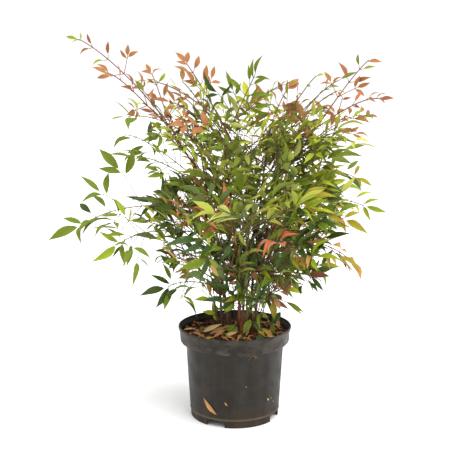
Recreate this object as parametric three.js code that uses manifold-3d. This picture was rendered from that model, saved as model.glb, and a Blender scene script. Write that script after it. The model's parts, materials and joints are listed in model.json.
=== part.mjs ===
// Heavenly bamboo in a black nursery pot: a clump of slim canes that carry long divided leaves.
// Millimetres and degrees. +X is right, +Y is back, +Z is up, and the origin is the middle of the
// pot's underside. A heading turns from +X towards +Y, and a rise is measured from level.

import * as THREE from 'three';
import { mergeVertices } from 'three/addons/utils/BufferGeometryUtils.js';
import Module from 'manifold-3d';

const wasm = await Module();
wasm.setup();

const gap = 0.3;
const weld = 1e-4;
const up = new THREE.Vector3(0, 0, 1);
const right = new THREE.Vector3(1, 0, 0);
const front = -90;

const pot = {
  height: 181,
  rimRadius: 111.5,
  bandHeight: 12,
  bandRadius: 108.5,
  collarHeight: 32,
  collarRadius: 107.5,
  collarRound: 6,
  roundSteps: 3,
  shoulderRadius: 96.7,
  footRadius: 88,
  skirtHeight: 13,
  skirtInset: 1,
  wall: 2,
  lip: 1.5,
  floorThickness: 2.5,
  bossRadius: 26,
  sides: 36,
  notches: { count: 4, heading: -115, width: 37, height: 12.4, depth: 14 },
  drains: { count: 4, ringRadius: 58, holeRadius: 7, sides: 10 },
  colour: 0x33312f,
  roughness: 0.5,
};

const soil = {
  level: 168,
  edgeDrop: 4,
  flatRadius: 62,
  colour: 0x4a3222,
  roughness: 0.95,
};

const bark = {
  cane: 0x6d3a24,
  shoot: 0x8c2f26,
  roughness: 0.7,
  sides: 6,
  steps: 8,
  stepSpacing: 1.5,
  caneTaper: 0.45,
  caneBend: { out: 0.3, up: 0.55 },
  flare: 0.6,
  flareHeight: 12,
  boughTaper: 0.35,
  boughArch: 0.04,
};

// A cane stands on the soil at foot [x, y] and leans over to tip [x, y, z].
const canes = [
  { name: 'cane_west', foot: [-24, 12], tip: [-67, 20, 520], radius: 2.6 },
  { name: 'cane_southwest', foot: [-9, -11], tip: [-72, -30, 452], radius: 3.4 },
  { name: 'cane_middle', foot: [12, -16], tip: [-20, -12, 528], radius: 2.8 },
  { name: 'cane_centre', foot: [15, 9], tip: [42, 30, 503], radius: 2.7 },
  { name: 'cane_northeast', foot: [31, 27], tip: [66, 14, 559], radius: 2.3 },
  { name: 'cane_east', foot: [38, 1], tip: [92, 2, 514], radius: 2.9 },
  { name: 'cane_north', foot: [5, 32], tip: [52, 96, 473], radius: 2.5 },
  { name: 'cane_northwest', foot: [-17, 34], tip: [-62, 92, 493], radius: 2.3 },
  { name: 'cane_south', foot: [24, -34], tip: [20, -84, 413], radius: 2.2 },
  { name: 'cane_southeast', foot: [32, -22], tip: [92, -72, 403], radius: 2.1 },
];

// A bough leaves a cane at the share `at` of its length and runs out to tip [x, y, z].
const boughs = [
  { name: 'bough_west', from: 'cane_west', at: 0.86, tip: [-140, 4, 591], radius: 1.7 },
  { name: 'bough_middle', from: 'cane_centre', at: 0.88, tip: [-34, 22, 593], radius: 1.6 },
  { name: 'bough_east', from: 'cane_east', at: 0.87, tip: [168, -8, 589], radius: 1.7 },
];

const tints = {
  bronze: 0xb9734a,
  coral: 0xd46a4f,
  amber: 0xcd9646,
  lime: 0xafc333,
  green: 0x6e8f2c,
  deep: 0x3c6a30,
  roughness: 0.45,
};

// The sprays that draw the crown's outline, under the limb that each one leaves at the share `at`
// of its length, where 1 is the limb's tip. A spray stays bare for the share `bare` of its own
// length, and the last of its leaves ends at tip [x, y, z].
const outerSprays = {
  bough_west: [
    { name: 'west_arch', at: 1, tip: [-318, 40, 751], tint: 'bronze', bare: 0.45, leaf: 32 },
    { name: 'west_upper', at: 0.8, tip: [-246, -100, 687], tint: 'bronze', bare: 0.35, leaf: 40 },
    { name: 'west_top', at: 0.55, tip: [-176, 100, 693], tint: 'bronze', bare: 0.35, leaf: 36 },
  ],
  cane_west: [
    { name: 'west_lime', at: 1, tip: [-218, -130, 609], tint: 'lime', bare: 0.35, leaf: 54 },
    { name: 'west_high', at: 0.8, tip: [-254, 110, 567], tint: 'green', bare: 0.35, leaf: 50 },
  ],
  cane_southwest: [
    { name: 'west_middle', at: 1, tip: [-216, -90, 537], tint: 'green', bare: 0.4, leaf: 52 },
    { name: 'far_west', at: 0.84, tip: [-346, -60, 383], tint: 'green', bare: 0.5, leaf: 54 },
    { name: 'west_low', at: 0.66, tip: [-248, -140, 365], tint: 'green', bare: 0.5, leaf: 58 },
    { name: 'west_under', at: 0.46, tip: [-178, 50, 313], tint: 'deep', bare: 0.4, leaf: 56 },
    { name: 'west_skirt', at: 0.3, tip: [-174, -90, 279], tint: 'green', bare: 0.5, leaf: 56 },
  ],
  bough_middle: [
    { name: 'top_west', at: 1, tip: [-110, 40, 715], tint: 'bronze', bare: 0.3, leaf: 40 },
  ],
  cane_middle: [
    { name: 'top_middle', at: 1, tip: [50, -50, 700], tint: 'lime', bare: 0.4, leaf: 50 },
  ],
  cane_northeast: [
    { name: 'top_east', at: 1, tip: [114, 80, 667], tint: 'bronze', bare: 0.3, leaf: 42 },
  ],
  bough_east: [
    { name: 'east_arch', at: 1, tip: [274, 30, 719], tint: 'bronze', bare: 0.3, leaf: 40 },
    { name: 'east_red', at: 0.8, tip: [280, -90, 635], tint: 'coral', bare: 0.35, leaf: 36 },
    { name: 'east_orange', at: 0.52, tip: [294, 110, 599], tint: 'bronze', bare: 0.35, leaf: 46 },
  ],
  cane_east: [
    { name: 'east_lime', at: 1, tip: [250, -120, 555], tint: 'lime', bare: 0.35, leaf: 56 },
    { name: 'east_middle', at: 0.8, tip: [280, 120, 467], tint: 'deep', bare: 0.35, leaf: 56 },
    { name: 'far_east', at: 0.66, tip: [284, -50, 429], tint: 'lime', bare: 0.4, leaf: 56 },
  ],
  cane_southeast: [
    { name: 'east_low', at: 1, tip: [234, -130, 413], tint: 'deep', bare: 0.35, leaf: 54 },
    { name: 'east_under', at: 0.78, tip: [264, 30, 301], tint: 'amber', bare: 0.4, leaf: 58 },
    { name: 'east_skirt', at: 0.5, tip: [200, -60, 279], tint: 'deep', bare: 0.4, leaf: 52 },
  ],
};

// The sprays that fill the crown end on two domes, one inside the other, spread evenly by the
// golden angle. Each leaves the cane that lets it rise most nearly as wished.
const innerSprays = {
  centre: [34, 0, 427],
  radii: [152, 205, 196],
  domes: [
    { count: 18, size: 1, top: 0.94, bottom: -0.72 },
    { count: 5, size: 0.6, top: 0.75, bottom: -0.6 },
  ],
  goldenAngle: 137.5,
  firstHeading: 250,
  lowest: 0.3,
  highest: 0.97,
  seatsTried: 24,
  wishedReach: 185,
  wishedRise: 36,
  riseCost: 2.5,
  crowding: 0.07,
  bare: 0.5,
  leaf: 68,
  roll: 75,
  tintsFromTop: ['bronze', 'lime', 'green', 'lime', 'green', 'deep', 'deep'],
};

// How a spray grows: a bare stalk, then `pairs` pairs of side shoots, and three leaves at the end.
// The first pair are twigs with three leaves each, and the others are single leaves.
const growth = {
  seed: 42,
  seedStep: 977,
  pairs: 3,
  waver: 16,
  roll: 24,
  faceRise: 38,
  // the shares of its full length that a leaf or twig tries before it is left out
  shares: [1, 0.82, 0.66, 0.52],
};

const stalk = {
  radius: 1.2,
  tipRadius: 0.9,
  steps: 5,
  sides: 3,
  arch: 0.16,
  firstShare: 0.3,
  secondShare: 0.72,
  startTurn: 0.35,
  endLeaf: 0.8,
  turnStep: 8,
  turns: 7,
};

// A twig is as long as this share of its spray's leaves, and up to `varies` of that shorter.
const twig = {
  length: 0.85,
  varies: 0.25,
  radius: 0.8,
  sides: 3,
  spread: 54,
  lift: [-0.175, 0.325],
  bare: 2,
};

// Width, fold and droop are shares of the leaf's length. `root` and `apart` are how far back from
// the twig's end the first leaf and each further one begin.
const leaf = {
  width: 0.4,
  broadest: 0.42,
  thick: 0.9,
  fold: 0.036,
  droop: 0.12,
  spread: 52,
  root: 1.2,
  apart: 5,
  guard: 0.7,
};

// What stays free between two pieces, and how many stretches a limb is measured by.
const room = { clearance: 1.2, stretches: 12, flattest: 0.3, parallel: 1e-9 };

const radians = THREE.MathUtils.degToRad;
const degrees = THREE.MathUtils.radToDeg;
const { lerp } = THREE.MathUtils;

function seededRandom(seed) {
  let state = seed >>> 0;
  return () => {
    state = (state + 0x6d2b79f5) >>> 0;
    let mixed = Math.imul(state ^ (state >>> 15), state | 1);
    mixed ^= mixed + Math.imul(mixed ^ (mixed >>> 7), mixed | 61);
    return ((mixed ^ (mixed >>> 14)) >>> 0) / 4294967296;
  };
}

function headed(heading, rise = 0) {
  const level = Math.cos(radians(rise));
  return new THREE.Vector3(
    level * Math.cos(radians(heading)),
    level * Math.sin(radians(heading)),
    Math.sin(radians(rise)),
  );
}

function headingOf(direction) {
  return degrees(Math.atan2(direction.y, direction.x));
}

function along(point, direction, distance) {
  return point.clone().addScaledVector(direction, distance);
}

// --- solids ---------------------------------------------------------------------------------

function toSolid(geometry) {
  const bare = geometry.clone();
  bare.deleteAttribute('normal');
  bare.deleteAttribute('uv');
  const merged = mergeVertices(bare, weld);
  return new wasm.Manifold(new wasm.Mesh({
    numProp: 3,
    vertProperties: new Float32Array(merged.attributes.position.array),
    triVerts: new Uint32Array(merged.index.array),
  }));
}

function toGeometry(solid) {
  const mesh = solid.getMesh();
  const geometry = new THREE.BufferGeometry();
  geometry.setAttribute('position', new THREE.BufferAttribute(new Float32Array(mesh.vertProperties), 3));
  geometry.setIndex(new THREE.BufferAttribute(new Uint32Array(mesh.triVerts), 1));
  geometry.computeVertexNormals();
  return geometry;
}

function geometryFrom(points, faces) {
  const geometry = new THREE.BufferGeometry();
  const numbers = points.flatMap((point) => point.toArray());
  geometry.setAttribute('position', new THREE.Float32BufferAttribute(numbers, 3));
  geometry.setIndex(faces.flat());
  return geometry;
}

// A closed tube through the rings, given as lists of points that turn the same way.
function skinRings(rings) {
  const sides = rings[0].length;
  const faces = [];
  for (let ring = 0; ring + 1 < rings.length; ring += 1) {
    for (let side = 0; side < sides; side += 1) {
      const here = ring * sides + side;
      const next = ring * sides + (side + 1) % sides;
      faces.push([here, next, next + sides], [here, next + sides, here + sides]);
    }
  }
  const last = (rings.length - 1) * sides;
  for (let side = 1; side + 1 < sides; side += 1) {
    faces.push([0, side + 1, side], [last, last + side, last + side + 1]);
  }
  return geometryFrom(rings.flat(), faces);
}

function ringAround(centre, normal, side, radius, sides) {
  const across = along(side, normal, -side.dot(normal)).normalize();
  const other = normal.clone().cross(across);
  return Array.from({ length: sides }, (_, i) => {
    const turn = (2 * Math.PI * i) / sides;
    return along(along(centre, across, radius * Math.cos(turn)), other, radius * Math.sin(turn));
  });
}

// --- the pot and its soil -------------------------------------------------------------------

function turned(profile) {
  const points = profile.map(([radius, height]) => new THREE.Vector2(radius, height));
  return new THREE.LatheGeometry(points, pot.sides).rotateX(Math.PI / 2);
}

const collarFoot = pot.height - pot.collarHeight;
const floorTop = pot.skirtHeight + pot.floorThickness;
const innerWall = [
  [pot.footRadius - pot.wall, floorTop],
  [pot.shoulderRadius - pot.wall, collarFoot + pot.wall],
  [pot.collarRadius - pot.wall, collarFoot + pot.wall + pot.collarRound],
  [pot.bandRadius - pot.wall, pot.height - pot.bandHeight],
  [pot.rimRadius - pot.wall - pot.lip, pot.height - pot.lip],
];

function wallRadiusAt(height) {
  const next = innerWall.findIndex(([, level]) => level >= height);
  const [lowRadius, low] = innerWall[next - 1];
  const [highRadius, high] = innerWall[next];
  return lerp(lowRadius, highRadius, (height - low) / (high - low));
}

// The collar's lower edge, rounded from below outwards.
function collarEdge() {
  return Array.from({ length: pot.roundSteps + 1 }, (_, i) => {
    const turn = (Math.PI / 2) * (i / pot.roundSteps);
    const radius = pot.collarRadius - pot.collarRound * (1 - Math.sin(turn));
    return [radius, collarFoot + pot.collarRound * (1 - Math.cos(turn))];
  });
}

function makePot() {
  const skirtRadius = pot.footRadius - pot.skirtInset;
  let solid = toSolid(turned([
    [0, 0],
    [pot.bossRadius, 0],
    [pot.bossRadius + pot.wall, pot.skirtHeight],
    [skirtRadius - pot.wall, pot.skirtHeight],
    [skirtRadius - pot.wall, 0],
    [skirtRadius, 0],
    [skirtRadius, pot.skirtHeight - pot.skirtInset],
    [pot.footRadius, pot.skirtHeight],
    [pot.shoulderRadius, collarFoot],
    ...collarEdge(),
    [pot.bandRadius, pot.height - pot.bandHeight],
    [pot.rimRadius, pot.height - pot.lip],
    [pot.rimRadius - pot.lip, pot.height],
    [pot.rimRadius - pot.wall, pot.height],
    ...innerWall.toReversed(),
    [0, floorTop],
  ]));
  const { notches, drains } = pot;
  for (let i = 0; i < notches.count; i += 1) {
    const heading = notches.heading + (360 / notches.count) * i;
    const notch = new THREE.BoxGeometry(notches.depth, notches.width, 2 * notches.height);
    notch.translate(skirtRadius, 0, 0).rotateZ(radians(heading));
    solid = solid.subtract(toSolid(notch));
  }
  for (let i = 0; i < drains.count; i += 1) {
    const at = headed(notches.heading + (360 / drains.count) * i).multiplyScalar(drains.ringRadius);
    const { holeRadius, sides } = drains;
    const drain = new THREE.CylinderGeometry(holeRadius, holeRadius, 2 * floorTop, sides);
    drain.rotateX(Math.PI / 2).translate(at.x, at.y, floorTop);
    solid = solid.subtract(toSolid(drain));
  }
  return toGeometry(solid);
}

function makeSoil() {
  const edgeLevel = soil.level - soil.edgeDrop;
  const [wallFoot, ...wallAbove] = innerWall.slice(0, 3);
  return turned([
    [0, floorTop + gap],
    [wallFoot[0] - gap, floorTop + gap],
    ...wallAbove.map(([radius, height]) => [radius - gap, height]),
    [wallRadiusAt(edgeLevel) - gap, edgeLevel],
    [soil.flatRadius, soil.level],
    [0, soil.level],
  ]);
}

// --- canes and boughs -----------------------------------------------------------------------

function pathOf(curve, radiusAt) {
  return Array.from({ length: room.stretches + 1 }, (_, i) => {
    const share = i / room.stretches;
    return { point: curve.getPoint(share), radius: radiusAt(share) };
  });
}

// A cane flares at its foot, where it is cut flat, and bends out as it climbs.
function makeCane({ name, foot, tip, radius }) {
  const start = new THREE.Vector3(...foot, soil.level + gap);
  const end = new THREE.Vector3(...tip);
  const bend = start.clone().lerp(end, bark.caneBend.out);
  bend.z = lerp(start.z, end.z, bark.caneBend.up);
  const curve = new THREE.QuadraticBezierCurve3(start, bend, end);
  const radiusAt = (share) => {
    const height = share * (end.z - start.z);
    const flare = 1 + bark.flare * Math.exp(-height / bark.flareHeight);
    return radius * (1 - bark.caneTaper * share) * flare;
  };
  const rings = Array.from({ length: bark.steps + 1 }, (_, i) => {
    const share = (i / bark.steps) ** bark.stepSpacing;
    return ringAround(curve.getPoint(share), up, right, radiusAt(share), bark.sides);
  });
  return { name, curve, radiusAt, endCut: up, path: pathOf(curve, radiusAt), geometry: skinRings(rings) };
}

// The place and the cut of a stem that leaves a limb at its side or goes on from its tip.
function seat(limb, at, heading, stemRadius) {
  const centre = limb.curve.getPoint(at);
  if (at === 1) return { start: along(centre, limb.endCut, gap), cut: limb.endCut };
  const away = headed(heading);
  const tangent = limb.curve.getTangent(at);
  const lean = Math.abs(tangent.dot(away) / Math.max(tangent.z, room.flattest));
  return { start: along(centre, away, limb.radiusAt(at) + gap + stemRadius * lean), cut: away };
}

// A stem that rises from its seat, arches over and ends at `end`.
function archTo(start, cut, end, arch) {
  const chord = end.clone().sub(start);
  const lift = up.clone().multiplyScalar(arch * chord.length());
  const onCut = along(start, cut, stalk.firstShare * chord.length());
  const first = along(start, chord, stalk.firstShare).add(lift).lerp(onCut, stalk.startTurn);
  const second = along(start, chord, stalk.secondShare).add(lift);
  return new THREE.CubicBezierCurve3(start, first, second, end);
}

function skinStem(curve, cut, radiusAt, steps, sides) {
  let side = Math.abs(cut.dot(right)) < Math.abs(cut.dot(up)) ? right : up;
  const rings = [];
  for (let i = 0; i <= steps; i += 1) {
    const centre = curve.getPoint(i / steps);
    const normal = i ? curve.getTangent(i / steps) : cut;
    const ring = ringAround(centre, normal, side, radiusAt(i / steps), sides);
    side = ring[0].clone().sub(centre).normalize();
    rings.push(ring);
  }
  return skinRings(rings);
}

function makeBough({ name, from, at, tip, radius }, limbs) {
  const end = new THREE.Vector3(...tip);
  const parent = limbs.find((limb) => limb.name === from);
  const heading = headingOf(end.clone().sub(parent.curve.getPoint(at)));
  const { start, cut } = seat(parent, at, heading, radius);
  const curve = archTo(start, cut, end, bark.boughArch);
  const radiusAt = (share) => radius * (1 - bark.boughTaper * share);
  const path = pathOf(curve, radiusAt);
  const geometry = skinStem(curve, cut, radiusAt, bark.steps, bark.sides);
  return { name, parent, curve, radiusAt, endCut: curve.getTangent(1), path, geometry };
}

// --- clearances -----------------------------------------------------------------------------

// The least distance between the lines a-b and c-d.
function lineDistance(a, b, c, d) {
  const u = b.clone().sub(a);
  const v = d.clone().sub(c);
  const w = a.clone().sub(c);
  const [uu, uv, vv, uw, vw] = [u.dot(u), u.dot(v), v.dot(v), u.dot(w), v.dot(w)];
  const spread = uu * vv - uv * uv;
  const clamp = (x) => Math.min(Math.max(x, 0), 1);
  let s = spread > room.parallel ? clamp((uv * vw - vv * uw) / spread) : 0;
  const t = clamp((uv * s + vw) / vv);
  s = clamp((uv * t - uw) / uu);
  return along(a, u, s).distanceTo(along(c, v, t));
}

// True if the line a-b, with its own radius, stays clear of every path but the ones left out.
function clearOf(paths, a, b, radius, leftOut = []) {
  return paths.every(({ owner, path }) => leftOut.includes(owner) || path.slice(1).every((next, i) => (
    lineDistance(a, b, path[i].point, next.point) > path[i].radius + radius + room.clearance
  )));
}

function distanceToHeart(point, heart) {
  return Math.min(...heart.slice(1).map((next, i) => {
    const nearest = new THREE.Vector3();
    new THREE.Line3(heart[i], next).closestPointToPoint(point, true, nearest);
    return nearest.distanceTo(point);
  }));
}

// A point is in a spray's own space where that spray's heart is the nearest, and above the pot.
function inOwnSpace(point, spray, sprays) {
  if (point.z < pot.height + room.clearance) return false;
  const own = distanceToHeart(point, spray.heart) + room.clearance;
  return sprays.every((other) => other === spray || distanceToHeart(point, other.heart) > own);
}

// --- where the sprays stand -----------------------------------------------------------------

function outerPlans() {
  const facing = headed(front, growth.faceRise);
  return Object.entries(outerSprays).flatMap(([from, plans]) => (
    plans.map((plan) => ({ ...plan, name: `spray_${plan.name}`, from, facing, roll: growth.roll }))
  ));
}

function domeTips() {
  const { centre, radii, domes, goldenAngle, firstHeading } = innerSprays;
  return domes.flatMap(({ count, size, top, bottom }, dome) => Array.from({ length: count }, (_, i) => {
    const height = lerp(top, bottom, i / (count - 1));
    const heading = firstHeading + goldenAngle * (i + 0.5 * dome);
    const onSphere = headed(heading, degrees(Math.asin(height)));
    const fromCentre = onSphere.multiply(new THREE.Vector3(...radii)).multiplyScalar(size);
    return fromCentre.add(new THREE.Vector3(...centre));
  }));
}

function innerPlans() {
  const { tintsFromTop, centre, radii } = innerSprays;
  const { bare, leaf: leafLength, roll } = innerSprays;
  return domeTips().map((tip, i) => {
    const depth = (centre[2] + radii[2] - tip.z) / (2 * radii[2]);
    const tint = tintsFromTop[Math.floor(depth * tintsFromTop.length)];
    const name = `spray_inner_${String(i + 1).padStart(2, '0')}`;
    return { name, tip: tip.toArray(), tint, bare, leaf: leafLength, facing: up, roll };
  });
}

// The seats that a spray may leave from. An inner spray tries the ones nearest its wished reach
// and rise first.
function seatsFor(plan, limbs, sprays) {
  if (plan.from) return [{ limb: limbs.find(({ name }) => name === plan.from), at: plan.at }];
  const { lowest, highest, wishedReach, wishedRise, riseCost, crowding, seatsTried } = innerSprays;
  const tip = new THREE.Vector3(...plan.tip);
  const shares = Array.from({ length: seatsTried }, (_, k) => lerp(lowest, highest, k / (seatsTried - 1)));
  const canesOnly = limbs.filter(({ parent }) => !parent);
  const seats = canesOnly.flatMap((limb) => [...shares, 1].map((at) => {
    const chord = tip.clone().sub(limb.curve.getPoint(at));
    const rise = degrees(Math.asin(chord.z / chord.length()));
    const cost = Math.abs(chord.length() - wishedReach) + riseCost * Math.abs(rise - wishedRise);
    return { limb, at, cost };
  }));
  const free = ({ limb, at }) => (
    sprays.every((spray) => spray.limb !== limb || Math.abs(spray.at - at) > crowding)
  );
  return seats.filter(free).sort((a, b) => a.cost - b.cost).slice(0, seatsTried);
}

// The leafy part of a stalk, as three points.
function heartOf(curve, bare) {
  return [bare, (1 + bare) / 2, 1].map((share) => curve.getPoint(share));
}

// A spray's stalk, moved from seat to seat and turned step by step about its limb until it clears
// the limbs and stalks so far.
function makeStalk(plan, limbs, sprays, paths) {
  const tip = new THREE.Vector3(...plan.tip);
  for (const { limb, at } of seatsFor(plan, limbs, sprays)) {
    const foot = limb.curve.getPoint(at);
    const wished = tip.clone().sub(foot);
    const length = wished.length() - stalk.endLeaf * plan.leaf;
    const flatness = Math.hypot(wished.x, wished.y) / wished.length();
    const near = [limb.name, limb.parent?.name];
    for (let turn = 0; turn < stalk.turns; turn += 1) {
      const aside = stalk.turnStep * Math.ceil(turn / 2) * (turn % 2 ? 1 : -1);
      const heading = headingOf(wished) + aside;
      const direction = wished.clone().normalize().applyAxisAngle(up, radians(aside));
      const { start, cut } = seat(limb, at, heading, stalk.radius);
      const curve = archTo(start, cut, along(foot, direction, length), stalk.arch * flatness ** 2);
      const radiusAt = (share) => lerp(stalk.radius, stalk.tipRadius, share);
      const path = pathOf(curve, radiusAt);
      const free = path.slice(1).every((next, i) => (
        clearOf(paths, path[i].point, next.point, next.radius, i < 2 ? near : [])
      ));
      if (free) {
        return { ...plan, limb, at, curve, cut, radiusAt, path, heart: heartOf(curve, plan.bare) };
      }
    }
  }
  throw new Error(`${plan.name} found no free place`);
}

// --- leaves and twigs -----------------------------------------------------------------------

// One leaf: six points and eight faces, folded along its midrib, with its tip drooping.
function leafPoints(start, direction, face, length) {
  const side = face.clone().cross(direction).normalize();
  const broadest = along(start, direction, leaf.broadest * length);
  const edge = (hand) => {
    const flat = along(broadest, side, (hand * leaf.width * length) / 2);
    return along(flat, face, leaf.fold * length);
  };
  return [
    start,
    along(along(start, direction, length), face, -leaf.droop * length),
    edge(1),
    edge(-1),
    along(broadest, face, leaf.thick / 2),
    along(broadest, face, -leaf.thick / 2),
  ];
}

const leafFaces = [
  [0, 4, 2], [0, 2, 5], [0, 5, 3], [0, 3, 4],
  [1, 2, 4], [1, 5, 2], [1, 3, 5], [1, 4, 3],
];

function growSpray(spray, index, sprays, paths) {
  const random = seededRandom(growth.seed + growth.seedStep * (index + 1));
  const waver = (angle) => radians(angle) * (2 * random() - 1);
  const parts = [skinStem(spray.curve, spray.cut, spray.radiusAt, stalk.steps, stalk.sides)];
  const isClear = (a, b, radius) => clearOf(paths, a, b, radius, [spray.name]);

  // A leaf as long as its space lets it be, or none.
  const addLeaf = (start, direction, face) => {
    for (const share of growth.shares) {
      const points = leafPoints(start, direction, face, spray.leaf * share);
      const [, tip, left, other] = points;
      const free = points.slice(1).every((point) => inOwnSpace(point, spray, sprays))
        && isClear(start, tip, (leaf.guard * left.distanceTo(other)) / 2)
        && [left, other].every((edge) => isClear(start, edge, 0) && isClear(edge, tip, 0));
      if (free) {
        parts.push(geometryFrom(points, leafFaces));
        return;
      }
    }
  };

  const addTurned = (start, forward, face, turn) => {
    const direction = forward.clone().applyAxisAngle(face, radians(turn) + waver(growth.waver));
    const side = face.clone().cross(direction).normalize();
    direction.applyAxisAngle(side, waver(growth.waver));
    addLeaf(start, direction, direction.clone().cross(side));
  };

  // Three leaves at a twig's end: one straight on, and one to each side a little way back.
  const addFan = (end, forward, face) => {
    addTurned(along(end, forward, -leaf.root), forward, face, 0);
    addTurned(along(end, forward, -leaf.apart), forward, face, leaf.spread);
    addTurned(along(end, forward, -2 * leaf.apart), forward, face, -leaf.spread);
  };

  const addTwig = (node, forward, face, hand) => {
    const turn = hand * radians(twig.spread) + waver(growth.waver);
    const heading = forward.clone().applyAxisAngle(face, turn);
    heading.addScaledVector(face, lerp(...twig.lift, random())).normalize();
    const length = twig.length * spray.leaf * (1 - twig.varies * random());
    for (const share of growth.shares) {
      const end = along(node, heading, length * share);
      if (inOwnSpace(end, spray, sprays) && isClear(along(node, heading, twig.bare), end, twig.radius)) {
        parts.push(skinStem(new THREE.LineCurve3(node, end), heading, () => twig.radius, 1, twig.sides));
        addFan(end, heading, face);
        return;
      }
    }
  };

  const roll = waver(spray.roll);
  for (let pair = 0; pair <= growth.pairs; pair += 1) {
    const share = lerp(spray.bare, 1, pair / growth.pairs);
    const node = spray.curve.getPoint(share);
    const forward = spray.curve.getTangent(share);
    const side = forward.clone().cross(spray.facing).normalize().applyAxisAngle(forward, roll);
    const face = side.clone().cross(forward);
    if (pair === growth.pairs) {
      addFan(node, forward, face);
    } else {
      for (const hand of [1, -1]) {
        if (pair) addTurned(node, forward, face, hand * leaf.spread);
        else addTwig(node, forward, face, hand);
      }
    }
  }

  // A leaf that only touched its twig would be a body of its own, so the largest body is the spray.
  const joined = parts.map(toSolid).reduce((whole, part) => whole.add(part));
  const bodies = joined.decompose().sort((a, b) => b.volume() - a.volume());
  return toGeometry(bodies[0]);
}

// --- the whole plant ------------------------------------------------------------------------

const plant = new THREE.Group();

function place(name, geometry, colour, roughness) {
  const material = new THREE.MeshStandardMaterial({ color: colour, roughness, metalness: 0 });
  const mesh = new THREE.Mesh(geometry, material);
  mesh.name = name;
  plant.add(mesh);
}

place('pot', makePot(), pot.colour, pot.roughness);
place('soil', makeSoil(), soil.colour, soil.roughness);

const limbs = canes.map(makeCane);
boughs.forEach((bough) => limbs.push(makeBough(bough, limbs)));
limbs.forEach(({ name, parent, geometry }) => {
  place(name, geometry, parent ? bark.shoot : bark.cane, bark.roughness);
});

const paths = limbs.map(({ name, path }) => ({ owner: name, path }));
const sprays = [];
for (const plan of [...outerPlans(), ...innerPlans()]) {
  const spray = makeStalk(plan, limbs, sprays, paths);
  sprays.push(spray);
  paths.push({ owner: spray.name, path: spray.path });
}
sprays.forEach((spray, index) => {
  place(spray.name, growSpray(spray, index, sprays, paths), tints[spray.tint], tints.roughness);
});

export default plant;
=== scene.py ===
import json
import math
import random

import bmesh
import bpy
import numpy as np
from mathutils import Matrix, Quaternion, Vector, noise

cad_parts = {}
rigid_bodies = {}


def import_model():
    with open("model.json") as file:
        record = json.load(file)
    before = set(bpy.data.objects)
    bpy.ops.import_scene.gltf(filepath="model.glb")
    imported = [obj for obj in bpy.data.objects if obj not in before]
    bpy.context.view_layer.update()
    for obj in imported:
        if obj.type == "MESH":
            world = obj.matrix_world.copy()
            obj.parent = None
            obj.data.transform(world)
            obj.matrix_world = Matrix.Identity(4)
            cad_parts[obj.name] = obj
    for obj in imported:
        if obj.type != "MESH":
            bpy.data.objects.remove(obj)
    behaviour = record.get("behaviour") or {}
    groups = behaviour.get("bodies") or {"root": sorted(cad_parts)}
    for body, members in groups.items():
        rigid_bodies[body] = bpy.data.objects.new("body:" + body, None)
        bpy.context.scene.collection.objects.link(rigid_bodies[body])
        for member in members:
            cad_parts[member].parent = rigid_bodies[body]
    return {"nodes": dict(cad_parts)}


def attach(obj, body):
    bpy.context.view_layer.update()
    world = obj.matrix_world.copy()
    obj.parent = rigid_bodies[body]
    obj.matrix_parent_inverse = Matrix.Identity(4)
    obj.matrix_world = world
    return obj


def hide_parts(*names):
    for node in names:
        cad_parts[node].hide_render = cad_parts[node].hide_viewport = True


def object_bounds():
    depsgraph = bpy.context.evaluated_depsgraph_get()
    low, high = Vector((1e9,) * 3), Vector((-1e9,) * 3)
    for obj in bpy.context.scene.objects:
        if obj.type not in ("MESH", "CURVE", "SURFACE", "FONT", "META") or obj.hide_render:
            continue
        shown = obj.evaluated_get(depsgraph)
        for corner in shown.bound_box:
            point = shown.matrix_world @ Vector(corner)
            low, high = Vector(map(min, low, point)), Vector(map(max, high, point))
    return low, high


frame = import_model()
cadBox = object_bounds()
scene = bpy.context.scene
mm = 0.001
tiny = 1e-6
up = Vector((0, 0, 1))
front = -90


# Small helpers for vectors, meshes and node trees.

def headed(heading, rise=0):
    level = math.cos(math.radians(rise))
    return Vector((
        level * math.cos(math.radians(heading)),
        level * math.sin(math.radians(heading)),
        math.sin(math.radians(rise)),
    ))


def headingOf(direction):
    return math.degrees(math.atan2(direction.y, direction.x))


def lerp(low, high, share):
    return low + (high - low) * share


def turnAbout(vector, axis, angle):
    return Quaternion(axis, angle) @ vector


def squareTo(vector, direction):  # the part of a vector that is square to a direction
    return (vector - direction * vector.dot(direction)).normalized()


def toLinear(colour):  # an sRGB colour, 0 to 255, as the linear colour that a socket takes
    shares = [part / 255 for part in colour]
    return [*(s / 12.92 if s <= 0.04045 else ((s + 0.055) / 1.055) ** 2.4 for s in shares), 1]


def newPiece(name, points, faces=(), edges=()):
    mesh = bpy.data.meshes.new(name)
    mesh.from_pydata(np.asarray(points, float) * mm, edges, faces)
    piece = bpy.data.objects.new(name, mesh)
    scene.collection.objects.link(piece)
    return piece


def mendNormals(piece):
    shape = bmesh.new()
    shape.from_mesh(piece.data)
    bmesh.ops.remove_doubles(shape, verts=shape.verts, dist=tiny)
    bmesh.ops.recalc_face_normals(shape, faces=shape.faces)
    shape.to_mesh(piece.data)
    shape.free()


def makePlain(piece):  # applies what the modifiers make
    graph = bpy.context.evaluated_depsgraph_get()
    mesh = bpy.data.meshes.new_from_object(piece.evaluated_get(graph), depsgraph=graph)
    piece.modifiers.clear()
    piece.data = mesh
    mesh.name = piece.name


def smoothen(piece, sharpAngle):
    piece.data.shade_smooth()
    piece.data.set_sharp_from_angle(angle=math.radians(sharpAngle))


def finishPiece(piece, slot, nodes=()):
    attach(piece, "root")
    if nodes:
        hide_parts(*nodes)
    print(f"{piece.name}: {len(piece.data.polygons)} faces")


def gatherShapes(name, pieces):  # takes the pieces out of the scene, for a tree to place
    shapes = bpy.data.collections.new(name)
    for piece in pieces:
        scene.collection.objects.unlink(piece)
        shapes.objects.link(piece)
    return shapes


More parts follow.
